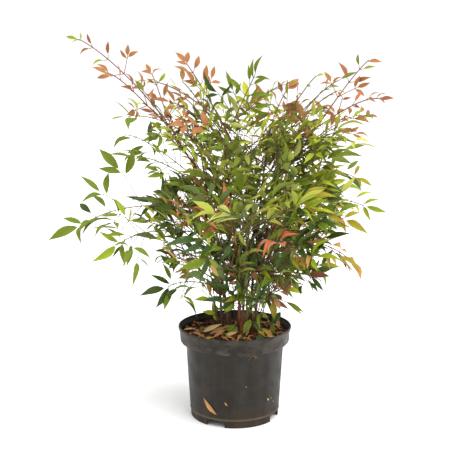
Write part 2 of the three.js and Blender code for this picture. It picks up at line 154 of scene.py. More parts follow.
def dropShapes(shapes):
    for piece in list(shapes.objects):
        bpy.data.objects.remove(piece)
    bpy.data.collections.remove(shapes)


def addNode(tree, kind, inputs=None, **settings):
    node = tree.nodes.new(kind)
    for name, value in settings.items():
        setattr(node, name, value)
    for key, value in (inputs or {}).items():
        if isinstance(value, bpy.types.NodeSocket):
            tree.links.new(value, node.inputs[key])
        else:
            node.inputs[key].default_value = value
    return node


def made(tree, kind, inputs=None, **settings):  # a new node's first output
    return addNode(tree, kind, inputs, **settings).outputs[0]


def newTree(name, sockets):  # a Geometry Nodes tree with named inputs beside its geometry
    tree = bpy.data.node_groups.new(name, "GeometryNodeTree")
    tree.interface.new_socket("Geometry", in_out="INPUT", socket_type="NodeSocketGeometry")
    for label, kind in sockets.items():
        tree.interface.new_socket(label, in_out="INPUT", socket_type="NodeSocket" + kind)
    tree.interface.new_socket("Geometry", in_out="OUTPUT", socket_type="NodeSocketGeometry")
    return tree, addNode(tree, "NodeGroupInput").outputs


def placeShapes(tree, shapes, inputs):  # one of a collection's shapes on each point
    parts = made(tree, "GeometryNodeCollectionInfo", {
        "Collection": shapes, "Separate Children": True, "Reset Children": True,
    })
    inputs = {**inputs, "Instance": parts, "Pick Instance": True}
    return made(tree, "GeometryNodeInstanceOnPoints", inputs)


def paint(tree, geometry, material, selection=True):
    inputs = {"Geometry": geometry, "Selection": selection, "Material": material}
    return made(tree, "GeometryNodeSetMaterial", inputs)


def endTree(tree, geometry, material):
    real = made(tree, "GeometryNodeRealizeInstances", {"Geometry": geometry})
    addNode(tree, "NodeGroupOutput", {0: paint(tree, real, material)})


def named(tree, name, kind):
    return made(tree, "GeometryNodeInputNamedAttribute", {"Name": name}, data_type=kind)


workAttributes = {"thick", "along", "face", "size", "shape", "underside"}


def runTree(piece, tree, values):  # the modifier makes a plain mesh and is gone
    modifier = piece.modifiers.new(tree.name, "NODES")
    modifier.node_group = tree
    for item in tree.interface.items_tree:
        if item.in_out == "INPUT" and item.name in values:
            modifier[item.identifier] = values[item.name]
    makePlain(piece)
    for name in [a.name for a in piece.data.attributes if a.name in workAttributes]:
        piece.data.attributes.remove(piece.data.attributes[name])


def storeOn(piece, name, kind, values):
    field = "vector" if kind == "FLOAT_VECTOR" else "value"
    attribute = piece.data.attributes.new(name, kind, "POINT")
    attribute.data.foreach_set(field, np.asarray(values).ravel())


# Materials. Patterns read Object coordinates, so their scales are per metre. Heights and depths are
# in millimetres.

def newMaterial(name, shaderInputs):
    material = bpy.data.materials.new(name)
    material.use_nodes = True
    shader = material.node_tree.nodes["Principled BSDF"]
    for key, value in shaderInputs.items():
        shader.inputs[key].default_value = value
    return material, material.node_tree, shader


def objectPoint(tree, scale=(1, 1, 1)):
    place = addNode(tree, "ShaderNodeTexCoord").outputs["Object"]
    return made(tree, "ShaderNodeMapping", {"Vector": place, "Scale": scale})


def grainOf(tree, look):
    point = objectPoint(tree, look.get("stretch", (1, 1, 1)))
    inputs = {"Vector": point, "Scale": look["scale"], "Detail": look["detail"]}
    inputs["Roughness"] = look.get("roughness", 0.55)
    return addNode(tree, "ShaderNodeTexNoise", inputs).outputs["Fac"]


def rampOf(tree, factor, stops):  # stops are (share, sRGB colour)
    node = addNode(tree, "ShaderNodeValToRGB", {"Fac": factor})
    elements = node.color_ramp.elements
    while len(elements) < len(stops):
        elements.new(0.5)
    for element, (share, colour) in zip(elements, stops):
        element.position = share
        element.color = toLinear(colour)
    return node.outputs["Color"]


def rangeOf(tree, value, between, to=(0, 1)):
    inputs = {"Value": value, "From Min": between[0], "From Max": between[1]}
    inputs.update({"To Min": to[0], "To Max": to[1]})
    return addNode(tree, "ShaderNodeMapRange", inputs).outputs["Result"]


def heightRange(tree, base, between, to=(0, 1)):  # between two heights over a base
    place = addNode(tree, "ShaderNodeTexCoord").outputs["Object"]
    height = addNode(tree, "ShaderNodeSeparateXYZ", {0: place}).outputs["Z"]
    return rangeOf(tree, height, [(base + over) * mm for over in between], to)


def patchesOf(tree, look):  # a mask of the look's grain
    return rangeOf(tree, grainOf(tree, look), look["between"], look.get("to", (0, 1)))


def mathOf(tree, operation, first, second):
    return made(tree, "ShaderNodeMath", {0: first, 1: second}, operation=operation)


def blendOf(tree, factor, first, second):  # two colours, as sockets or as sRGB
    colours = [c if isinstance(c, bpy.types.NodeSocket) else toLinear(c) for c in (first, second)]
    inputs = {0: factor, 6: colours[0], 7: colours[1]}  # a Mix node's colour sockets
    return addNode(tree, "ShaderNodeMix", inputs, data_type="RGBA").outputs[2]


def addBump(tree, shader, height, relief):
    inputs = {"Height": height, "Strength": relief["strength"], "Distance": relief["depth"] * mm}
    tree.links.new(made(tree, "ShaderNodeBump", inputs), shader.inputs["Normal"])


# The studio: camera, pale floor, soft light.

studio = {
    "cameraAt": (0, -1615.3, 643.7),
    "cameraDown": 9.34,
    "cameraTurn": 0.61,
    "lens": 67.22,
    "sensor": 36,
    "farthest": 100,
    "floorSize": 40000,
    "floorColour": (246, 246, 246),
    "floorRoughness": 0.9,
    "worldColour": (255, 255, 255),
    "worldStrength": 1.12,
    "key": {"heading": -40, "rise": 62, "strength": 2.9, "spread": 55},
}


def makeStudio():
    camera = bpy.data.objects.new("camera", bpy.data.cameras.new("camera"))
    camera.location = Vector(studio["cameraAt"]) * mm
    camera.rotation_euler = (math.radians(90 - studio["cameraDown"]), 0, math.radians(studio["cameraTurn"]))
    camera.data.lens = studio["lens"]
    camera.data.sensor_width = studio["sensor"]
    camera.data.clip_end = studio["farthest"]
    scene.collection.objects.link(camera)
    scene.camera = camera
    scene.view_settings.view_transform = "Standard"

    half = studio["floorSize"] / 2
    corners = [(-half, -half, 0), (half, -half, 0), (half, half, 0), (-half, half, 0)]
    floor = newPiece("floor", corners, [(0, 1, 2, 3)])
    paper = {"Base Color": toLinear(studio["floorColour"]), "Roughness": studio["floorRoughness"]}
    floor.data.materials.append(newMaterial("floorPaper", paper)[0])

    world = bpy.data.worlds.new("studio")
    scene.world = world
    world.use_nodes = True
    background = world.node_tree.nodes["Background"]
    background.inputs["Color"].default_value = toLinear(studio["worldColour"])
    background.inputs["Strength"].default_value = studio["worldStrength"]

    key = studio["key"]
    sun = bpy.data.objects.new("key", bpy.data.lights.new("key", "SUN"))
    sun.data.energy = key["strength"]
    sun.data.angle = math.radians(key["spread"])
    sun.rotation_euler = headed(key["heading"], key["rise"]).to_track_quat("Z", "Y").to_euler()
    scene.collection.objects.link(sun)
    print("studio ready")


makeStudio()


# The pot is turned from a profile of [radius, height] corners, each rounded by its own radius.

pot = {
    "height": 181,
    "rimRadius": 111.5,
    "bandHeight": 12,
    "bandRadius": 108.5,
    "collarHeight": 32,
    "collarRadius": 107.5,
    "collarRound": 6,
    "shoulderRadius": 96.7,
    "footRadius": 88,
    "skirtHeight": 13,
    "skirtInset": 1,
    "bead": {"stands": 0.9, "height": 3.2},
    "wall": 2,
    "lipWidth": 2.8,
    "lipRound": 3,
    "lipDepth": 4,
    "lipStep": 0.6,
    "floorThickness": 2.5,
    "bossRadius": 26,
    "segments": 144,
    "roundSteps": 4,
    "roundShare": 0.55,
    "notches": {"count": 4, "heading": -115, "width": 37, "height": 12.4, "depth": 14},
    "drains": {"ringRadius": 58, "holeRadius": 7, "sides": 24, "overshoot": 2},
    "sharpAngle": 38,
}
collarFoot = pot["height"] - pot["collarHeight"]
floorTop = pot["skirtHeight"] + pot["floorThickness"]


def roundCorners(corners):
    steps = pot["roundSteps"]
    profile = []
    for i, (radius, height, rounding) in enumerate(corners):
        here = Vector((radius, height))
        if not rounding:
            profile.append(here)
            continue
        before = Vector(corners[i - 1][:2]) - here
        after = Vector(corners[i + 1][:2]) - here
        half = before.angle(after) / 2
        longest = pot["roundShare"] * min(before.length, after.length)
        reach = min(rounding / math.tan(half), longest)
        start = here + before.normalized() * reach
        end = here + after.normalized() * reach
        for step in range(steps + 1):
            share = step / steps
            profile.append(start.lerp(here, share).lerp(here.lerp(end, share), share))
    return profile


def turnProfile(name, profile, segments):
    points, faces, rings = [], [], []
    for radius, height in profile:
        if radius < tiny:
            rings.append([len(points)] * segments)
            points.append((0, 0, height))
            continue
        rings.append([len(points) + i for i in range(segments)])
        points += [
            (radius * math.cos(turn), radius * math.sin(turn), height)
            for turn in (2 * math.pi * i / segments for i in range(segments))
        ]
    for low, high in zip(rings, rings[1:]):
        for i in range(segments):
            j = (i + 1) % segments
            face = list(dict.fromkeys((low[i], low[j], high[j], high[i])))
            if len(face) > 2:
                faces.append(face)
    piece = newPiece(name, points, faces)
    mendNormals(piece)
    return piece


def potCorners():  # radius, height and rounding, from under the pot round to its inside
    rim = pot["rimRadius"]
    height = pot["height"]
    wall = pot["wall"]
    foot = pot["footRadius"]
    skirt = foot - pot["skirtInset"]
    shoulder = pot["shoulderRadius"]
    collar = pot["collarRadius"]
    bead = pot["bead"]
    return [
        (0, 0, 0),
        (pot["bossRadius"], 0, 1),
        (pot["bossRadius"] + wall, pot["skirtHeight"], 1),
        (skirt - wall, pot["skirtHeight"], 1),
        (skirt - wall, 0, 0.5),
        (skirt, 0, 0.7),
        (skirt, pot["skirtHeight"] - pot["skirtInset"], 0.4),
        (foot, pot["skirtHeight"], 0.6),
        (foot + bead["stands"], pot["skirtHeight"] + bead["height"] / 2, 0.8),
        (foot + bead["stands"] / 2, pot["skirtHeight"] + bead["height"], 1),
        (shoulder, collarFoot, 1.5),
        (collar, collarFoot, pot["collarRound"]),
        (pot["bandRadius"], height - pot["bandHeight"], 6),
        (rim, height - pot["lipRound"], 3),
        (rim, height, 1.4),
        (rim - pot["lipWidth"], height, 1.2),
        (rim - wall - pot["lipStep"], height - pot["lipDepth"], 1),
        (pot["bandRadius"] - wall, height - pot["bandHeight"], 1),
        (collar - wall, collarFoot + wall + pot["collarRound"], 1),
        (shoulder - wall, collarFoot + wall, 1.5),
        (foot - wall, floorTop, 1),
        (0, floorTop, 0),
    ]


def makeCutters():  # each notch has a drain hole on its heading
    shape = bmesh.new()
    notches = pot["notches"]
    drains = pot["drains"]
    quarter = 360 / notches["count"]
    for i in range(notches["count"]):
        turn = Matrix.Rotation(math.radians(notches["heading"] + quarter * i), 4, "Z")
        size = Matrix.Diagonal((notches["depth"], notches["width"], 2 * notches["height"], 1))
        outwards = Matrix.Translation((pot["footRadius"], 0, 0))
        bmesh.ops.create_cube(shape, size=1, matrix=turn @ outwards @ size)
        hole = turn @ Matrix.Translation((drains["ringRadius"], 0, floorTop))
        radius = drains["holeRadius"]
        depth = 2 * (pot["floorThickness"] + drains["overshoot"])
        bmesh.ops.create_cone(
            shape, cap_ends=True, segments=drains["sides"], radius1=radius, radius2=radius,
            depth=depth, matrix=hole,
        )
    bmesh.ops.scale(shape, vec=(mm, mm, mm), verts=shape.verts)
    cutters = newPiece("cutters", [])
    shape.to_mesh(cutters.data)
    shape.free()
    return cutters


potFinish = {
    "shine": {"Specular IOR Level": 0.32, "Specular Tint": [1, 0.93, 0.84, 1]},
    "clouds": {"scale": 14, "detail": 6},
    "base": [(0.3, (12, 10, 8)), (0.7, (21, 18, 15))],
    "bands": {"stretch": (1, 1, 0.03), "scale": 24, "detail": 2, "between": (0.44, 0.62), "to": (0, 0.6)},
    "streaks": {"stretch": (1, 1, 0.08), "scale": 120, "detail": 3, "between": (0.5, 0.85), "to": (0, 0.5)},
    "dust": {"stretch": (1, 1, 1.6), "scale": 30, "detail": 7, "roughness": 0.62, "between": (0.46, 0.7)},
    "dirt": {"scale": 26, "detail": 8, "roughness": 0.66, "between": (0.36, 0.6)},
    "specks": {"scale": 420, "detail": 2, "between": (0.72, 0.78), "to": (0, 0.6)},
    "dustUnderAndOnCollar": (0.1, 0.5),
    "collarFrom": (-3, 1),  # over the collar's foot
    "dustierFoot": {"over": (1, 13), "dust": 0.6},
    "dirtFade": (1, 45),  # over the ground
    "dirtAdds": {"colour": 0.7, "roughness": 0.25, "relief": 0.6},
    "ledge": {"starts": (0.5, 2), "ends": (4, 6), "cover": 0.55},  # over the skirt
    "colours": {
        "bands": (37, 33, 28),
        "streaks": (42, 38, 32),
        "dust": (82, 76, 67),
        "dirt": (66, 51, 36),
        "ledge": (92, 80, 64),
        "specks": (92, 84, 72),
    },
    "roughness": {"scale": 38, "detail": 5, "between": (0.3, 0.7), "to": (0.36, 0.62)},
    "pits": {"scale": 260, "detail": 6, "roughness": 0.7},
    "relief": {"strength": 0.35, "depth": 0.6},
}


def potMaterial():
    look = potFinish
    material, tree, shader = newMaterial("potPlastic", look["shine"])

    def times(first, second):
        return mathOf(tree, "MULTIPLY", first, second)

    def plus(first, second):
        return mathOf(tree, "ADD", first, second)

    foot, ledge, adds = look["dustierFoot"], look["ledge"], look["dirtAdds"]
    collar = heightRange(tree, collarFoot, look["collarFrom"])
    dustOnFoot = times(collar, heightRange(tree, collarFoot, foot["over"], (foot["dust"], 0)))
    dusty = plus(rangeOf(tree, collar, (0, 1), look["dustUnderAndOnCollar"]), dustOnFoot)
    dirt = times(heightRange(tree, 0, look["dirtFade"], (1, 0)), patchesOf(tree, look["dirt"]))
    ledgeStart = heightRange(tree, pot["skirtHeight"], ledge["starts"])
    ledgeEnd = heightRange(tree, pot["skirtHeight"], ledge["ends"], (ledge["cover"], 0))
    layers = {
        "bands": patchesOf(tree, look["bands"]),
        "streaks": patchesOf(tree, look["streaks"]),
        "dust": times(patchesOf(tree, look["dust"]), dusty),
        "dirt": times(dirt, adds["colour"]),
        "ledge": times(ledgeStart, ledgeEnd),
        "specks": patchesOf(tree, look["specks"]),
    }
    colour = rampOf(tree, grainOf(tree, look["clouds"]), look["base"])
    for layer, mask in layers.items():
        colour = blendOf(tree, mask, colour, look["colours"][layer])
    tree.links.new(colour, shader.inputs["Base Color"])
    roughness = plus(patchesOf(tree, look["roughness"]), times(dirt, adds["roughness"]))
    tree.links.new(roughness, shader.inputs["Roughness"])
    addBump(tree, shader, plus(grainOf(tree, look["pits"]), times(dirt, adds["relief"])), look["relief"])
    return material


def makePot():
    shell = turnProfile("pot_shell", roundCorners(potCorners()), pot["segments"])
    cutters = makeCutters()
    cut = shell.modifiers.new("cuts", "BOOLEAN")
    cut.operation = "DIFFERENCE"
    cut.solver = "EXACT"
    cut.object = cutters
    bpy.context.view_layer.update()
    makePlain(shell)
    bpy.data.objects.remove(cutters)
    shell.data.materials.clear()
    shell.data.materials.append(potMaterial())
    smoothen(shell, pot["sharpAngle"])
    finishPiece(shell, "pot_plastic", ["pot"])


makePot()


# The potting mix fills the pot to a rough top, with bark chips and crumbs strewn over it.

soil = {
    "level": 168,
    "edgeDrop": 4,
    "flatRadius": 62,
    "clear": 0.4,
    "rings": 46,
    "segments": 132,
    "relief": [(26, 2.4), (9, 1.5), (3.5, 0.8)],  # size of the lumps and their depth
    "reliefShift": 7,
    "hollow": {"at": (-50, 40), "reach": 30, "depth": 15, "fade": (82, 98)},
    "sharpAngle": 60,
}
soilFinish = {
    "shine": {"Roughness": 0.95, "Specular IOR Level": 0.2},
    "lumps": {"scale": 95, "detail": 8, "roughness": 0.68},
    "colours": [(0.3, (22, 13, 9)), (0.5, (52, 32, 21)), (0.62, (96, 58, 34)), (0.72, (140, 88, 50))],
    # the hollow's colour and share are painted shade, laid over the soil's own colour the deeper it lies
    "hollowShadeColour": (14, 9, 6),
    "hollowShadeHeights": (-15, -4),  # heights over the soil's level where the hollow's painted shade is fullest and where it ends
    "hollowShade": 0.85,
    "crumbs": {"scale": 420, "detail": 8, "roughness": 0.7},
    "relief": {"strength": 0.9, "depth": 2},
}
chips = {
    "kinds": {
        "rust": {"colour": (150, 88, 44), "density": 3400, "seed": 3, "size": (4, 17)},
        "umber": {"colour": (78, 46, 28), "density": 7000, "seed": 8, "size": (3.5, 14)},
        "straw": {"colour": (190, 150, 100), "density": 1500, "seed": 14, "size": (4, 15)},
        "crumbs": {"colour": (54, 33, 21), "density": 24000, "seed": 21, "size": (1.2, 4)},
    },
    "widths": [0.24, 0.34, 0.5, 0.28, 0.42, 0.6],
    "thickness": 0.5,
    "pinch": 0.45,
    "push": {"along": 0.1, "across": 0.2},
    "firstSeed": 40,
    "steepest": 0.4,
    "leastTurn": (-0.5, -0.5, 0),
    "mostTurn": (0.5, 0.5, 6.283),  # radians
    "shine": {"Roughness": 0.85, "Specular IOR Level": 0.25},
    "fibres": {"scale": 210, "detail": 5, "roughness": 0.65},
    "shades": [(0.35, 0.55), (0.6, 1.15)],  # place on the ramp, share of the chip's colour
    "relief": {"strength": 0.6, "depth": 1},
}

innerWall = [  # height and outer radius, less the wall
    (floorTop, pot["footRadius"] - pot["wall"]),
    (collarFoot + pot["wall"], pot["shoulderRadius"] - pot["wall"]),
    (collarFoot + pot["wall"] + pot["collarRound"], pot["collarRadius"] - pot["wall"]),
    (pot["height"] - pot["bandHeight"], pot["bandRadius"] - pot["wall"]),
    (pot["height"], pot["rimRadius"] - pot["wall"]),
]


def wallRadiusAt(height):
    return float(np.interp(height, *zip(*innerWall)))


soilRadius = wallRadiusAt(soil["level"] - soil["edgeDrop"]) - soil["clear"]


def soilHeightAt(x, y):
    radius = math.hypot(x, y)
    edge = max(radius - soil["flatRadius"], 0) / (soilRadius - soil["flatRadius"])
    height = soil["level"] - soil["edgeDrop"] * edge
    for size, depth in soil["relief"]:
        height += depth * noise.noise(Vector((x, y, soil["reliefShift"] * depth)) / size)
    hollow = soil["hollow"]
    away = math.dist((x, y), hollow["at"]) / hollow["reach"]
    fade = float(np.interp(radius, hollow["fade"], (1, 0)))
    return height - hollow["depth"] * fade * math.exp(-away * away)


def soilMaterial():
    look = soilFinish
    material, tree, shader = newMaterial("pottingMix", look["shine"])
    colour = rampOf(tree, grainOf(tree, look["lumps"]), look["colours"])
    # painted shade: the soil turns towards the hollow's dark colour the deeper it lies below its level
    deep = heightRange(tree, soil["level"], look["hollowShadeHeights"], (look["hollowShade"], 0))
    tree.links.new(blendOf(tree, deep, colour, look["hollowShadeColour"]), shader.inputs["Base Color"])
    addBump(tree, shader, grainOf(tree, look["crumbs"]), look["relief"])
    return material


def chipMaterial(name, colour):
    material, tree, shader = newMaterial(name, chips["shine"])
    fibres = grainOf(tree, chips["fibres"])
    stops = [(place, [min(part * share, 255) for part in colour]) for place, share in chips["shades"]]
    tree.links.new(rampOf(tree, fibres, stops), shader.inputs["Base Color"])
    addBump(tree, shader, fibres, chips["relief"])
    return material


def makeChipShape(name, width, seed):  # a splintered block, one long, with its corners pushed about
    draw = random.Random(seed)
    block = newPiece(name, [])
    shape = bmesh.new()
    bmesh.ops.create_cube(shape, size=1, matrix=Matrix.Diagonal((1, width, chips["thickness"] * width, 1)))
    lengthwise = [edge for edge in shape.edges if abs((edge.verts[0].co - edge.verts[1].co).x) > 0.5]
    bmesh.ops.subdivide_edges(shape, edges=lengthwise, cuts=1)
    across = chips["push"]["across"] * width
    for vert in shape.verts:
        vert.co.y *= 1 - chips["pinch"] * abs(vert.co.x)
        vert.co += Vector([draw.uniform(-1, 1) * push for push in (chips["push"]["along"], across, across)])
    shape.to_mesh(block.data)
    shape.free()
    mendNormals(block)
    return block


def chipTree():
    sockets = {"Density": "Float", "Seed": "Int", "Smallest": "Float", "Largest": "Float",
               "Chips": "Collection", "Material": "Material"}
    tree, inputs = newTree("chips on soil", sockets)
    seed = {"Seed": inputs["Seed"]}
    normal = made(tree, "GeometryNodeInputNormal")
    facing = addNode(tree, "ShaderNodeSeparateXYZ", {0: normal}).outputs["Z"]
    steep = {0: facing, 1: chips["steepest"]}
    isTop = made(tree, "FunctionNodeCompare", steep, operation="GREATER_THAN")
    spots = addNode(tree, "GeometryNodeDistributePointsOnFaces", {
        "Mesh": inputs["Geometry"], "Selection": isTop, "Density": inputs["Density"], **seed,
    }).outputs["Points"]
    turns = {"Min": chips["leastTurn"], "Max": chips["mostTurn"], **seed}
    sizes = {2: inputs["Smallest"], 3: inputs["Largest"], **seed}
    placed = placeShapes(tree, inputs["Chips"], {
        "Points": spots,
        "Rotation": made(tree, "FunctionNodeRandomValue", turns, data_type="FLOAT_VECTOR"),
        "Scale": addNode(tree, "FunctionNodeRandomValue", sizes, data_type="FLOAT").outputs[1],
    })
    endTree(tree, placed, inputs["Material"])
    return tree


def makeSoil():
    floor, clear = floorTop + soil["clear"], soil["clear"]
    profile = [Vector((0, floor)), Vector((wallRadiusAt(floorTop) - clear, floor))]
    profile += [Vector((radius - clear, height)) for height, radius in innerWall[1:3]]
    for ring in range(soil["rings"], -1, -1):
        profile.append(Vector((soilRadius * ring / soil["rings"], soil["level"])))
    bed = turnProfile("soil_bed", profile, soil["segments"])
    for vertex in bed.data.vertices:
        if vertex.co.z > (soil["level"] - 1) * mm:
            vertex.co.z = soilHeightAt(vertex.co.x / mm, vertex.co.y / mm) * mm
    bed.data.materials.append(soilMaterial())
    smoothen(bed, soil["sharpAngle"])
    finishPiece(bed, "potting_mix", ["soil"])
    return bed


def strewChips(bed):
    widths = enumerate(chips["widths"])
    blocks = [makeChipShape(f"chip_{i}", width, chips["firstSeed"] + i) for i, width in widths]
    shapes = gatherShapes("chip shapes", blocks)
    tree = chipTree()
    for name, plan in chips["kinds"].items():
        smallest, largest = plan["size"]
        piece = bpy.data.objects.new(f"soil_{name}", bed.data.copy())
        scene.collection.objects.link(piece)
        runTree(piece, tree, {
            "Density": float(plan["density"]), "Seed": plan["seed"],
            "Smallest": smallest * mm, "Largest": largest * mm,
            "Chips": shapes, "Material": chipMaterial(f"bark_{name}", plan["colour"]),
        })
        piece.data.shade_flat()
        finishPiece(piece, "potting_mix")
    dropShapes(shapes)


strewChips(makeSoil())


# The canes, boughs and stalks follow the same curves as the solids that they stand for.

def cane(name, foot, tip, radius, skin="brown"):
    return {"name": "cane_" + name, "foot": foot, "tip": tip, "radius": radius, "skin": skin}


bark = {
    "caneTaper": 0.45,
    "caneBend": {"out": 0.3, "up": 0.55},
    "flare": 0.6,
    "flareHeight": 12,
    "boughTaper": 0.35,
    "boughArch": 0.04,
    "gap": 0.3,
}
canes = [
    cane("west", (-24, 12), (-67, 20, 520), 2.6),
    cane("southwest", (-9, -11), (-72, -30, 452), 3.4),
    cane("middle", (12, -16), (-20, -12, 528), 2.8, "rust"),
    cane("centre", (15, 9), (42, 30, 503), 2.7, "tan"),
    cane("northeast", (31, 27), (66, 14, 559), 2.3),
    cane("east", (38, 1), (92, 2, 514), 2.9),
    cane("north", (5, 32), (52, 96, 473), 2.5),
    cane("northwest", (-17, 34), (-62, 92, 493), 2.3),
    cane("south", (24, -34), (20, -84, 413), 2.2, "green"),
    cane("southeast", (32, -22), (92, -72, 403), 2.1),
]
boughs = [
    {"name": "bough_west", "from": "cane_west", "at": 0.86, "tip": (-140, 4, 591), "radius": 1.7},
    {"name": "bough_middle", "from": "cane_centre", "at": 0.88, "tip": (-34, 22, 593), "radius": 1.6},
    {"name": "bough_east", "from": "cane_east", "at": 0.87, "tip": (168, -8, 589), "radius": 1.7},
]
room = {
    "clearance": 1.2,
    "stretches": 12,
    "touching": 2,  # how many of a stalk's stretches may come close to its limb
    "flattest": 0.3,  # the least upward share of a limb's direction that a cut leans by
    "parallel": 1e-9,  # two lines whose spread is less count as parallel
    "sharing": 60,  # how much nearer to another spray's heart than to its own a leaf may be
}
stalk = {
    "radius": 1.2,
    "tipRadius": 0.9,
    "arch": 0.16,
    "firstShare": 0.3,  # where the two handles of its curve stand
    "secondShare": 0.72,
    "startTurn": 0.35,  # how far the first handle turns towards the cut
    "endLeaf": 0.8,  # the share of a leaflet that reaches past the stalk
    "turnStep": 8,  # degrees, to one side and then to the other
    "turns": 7,
    "flare": 0.9,
    "flareHeight": 5,
}


def pointOn(curve, share):  # the point and the direction at a share of a Bezier curve
    points = curve
    while len(points) > 2:
        points = [a.lerp(b, share) for a, b in zip(points, points[1:])]
    return points[0].lerp(points[1], share), (points[1] - points[0]).normalized()


def lengthOf(path):
    return float(np.linalg.norm(np.diff(path, axis=0), axis=1).sum())


def newLimb(name, curve, radiusAt, parent=None, skin="brown"):
    shares = [i / room["stretches"] for i in range(room["stretches"] + 1)]
    path = np.array([pointOn(curve, share)[0] for share in shares])
    radii = np.array([radiusAt(share) for share in shares])
    endCut = pointOn(curve, 1)[1]
    return {"name": name, "curve": curve, "radiusAt": radiusAt, "endCut": endCut, "parent": parent,
            "skin": skin, "path": path, "radii": radii}


def growCane(plan):
    start = Vector((*plan["foot"], soil["level"] + bark["gap"]))
    end = Vector(plan["tip"])
    bend = start.lerp(end, bark["caneBend"]["out"])
    bend.z = lerp(start.z, end.z, bark["caneBend"]["up"])

    def radiusAt(share):
        flare = 1 + bark["flare"] * math.exp(-share * (end.z - start.z) / bark["flareHeight"])
        return plan["radius"] * (1 - bark["caneTaper"] * share) * flare

    return {**newLimb(plan["name"], [start, bend, end], radiusAt, skin=plan["skin"]), "endCut": up}


def seatOn(limb, at, heading, stemRadius):  # the place and the cut of a stem that leaves a limb
    centre, tangent = pointOn(limb["curve"], at)
    if at == 1:
        return centre + limb["endCut"] * bark["gap"], limb["endCut"]
    away = headed(heading)
    lean = abs(tangent.dot(away) / max(tangent.z, room["flattest"]))
    return centre + away * (limb["radiusAt"](at) + bark["gap"] + stemRadius * lean), away


def archTo(start, cut, end, arch):
    chord = end - start
    lift = up * arch * chord.length
    onCut = start + cut * stalk["firstShare"] * chord.length
    first = (start + chord * stalk["firstShare"] + lift).lerp(onCut, stalk["startTurn"])
    return [start, first, start + chord * stalk["secondShare"] + lift, end]


def growBough(plan, limbs):
    end = Vector(plan["tip"])
    parent = limbs[plan["from"]]
    heading = headingOf(end - pointOn(parent["curve"], plan["at"])[0])
    start, cut = seatOn(parent, plan["at"], heading, plan["radius"])
    curve = archTo(start, cut, end, bark["boughArch"])
    taper = bark["boughTaper"]
    return newLimb(plan["name"], curve, lambda share: plan["radius"] * (1 - taper * share),
                   plan["from"], "crimson")


limbs = {plan["name"]: growCane(plan) for plan in canes}
for plan in boughs:
    limbs[plan["name"]] = growBough(plan, limbs)


# What is in the way: straight stretches of every limb and stalk so far.

paths = {"starts": np.empty((0, 3)), "ends": np.empty((0, 3)), "radii": np.empty(0), "owners": []}


def addPath(owner, path, radii):
    paths["starts"] = np.vstack([paths["starts"], path[:-1]])
    paths["ends"] = np.vstack([paths["ends"], path[1:]])
    paths["radii"] = np.append(paths["radii"], radii[:-1])
    paths["owners"] += [owner] * (len(path) - 1)


def lineDistances(a, b, starts, ends):  # the least distance from a-b to each of the other lines
    u, v, w = b - a, ends - starts, a - starts
    uu, uv, vv = u @ u, v @ u, (v * v).sum(1)
    uw, vw = w @ u, (v * w).sum(1)
    spread = uu * vv - uv * uv
    s = np.clip((uv * vw - vv * uw) / np.maximum(spread, room["parallel"]), 0, 1)
    s = np.where(spread > room["parallel"], s, 0)
    t = np.clip((uv * s + vw) / vv, 0, 1)
    s = np.clip((uv * t - uw) / uu, 0, 1)
    return np.linalg.norm(a + s[:, None] * u - starts - t[:, None] * v, axis=1)


def isClear(a, b, radius, leftOut=()):
    distances = lineDistances(np.array(a), np.array(b), paths["starts"], paths["ends"])
    clear = distances > paths["radii"] + radius + room["clearance"]
    if leftOut:
        clear |= np.isin(paths["owners"], leftOut)
    return bool(clear.all())


for limb in limbs.values():
    addPath(limb["name"], limb["path"], limb["radii"])


# Where the sprays stand. Each outer one leaves its limb at a share of the limb's length and draws
# a piece of the crown's outline. The others end on domes, wherever a limb can carry them. `bare` is
# the share of a stalk that has no twigs, and `leaf` is the length of a leaflet.

def outer(name, at, tip, tint, bare, leaf, **more):
    return {"name": "spray_" + name, "at": at, "tip": tip, "tint": tint, "bare": bare, "leaf": leaf, **more}


def domeAt(centre, radii, count, top, bottom, **more):  # top and bottom are shares of its radius
    return {"centre": centre, "radii": radii, "count": count, "top": top, "bottom": bottom, **more}


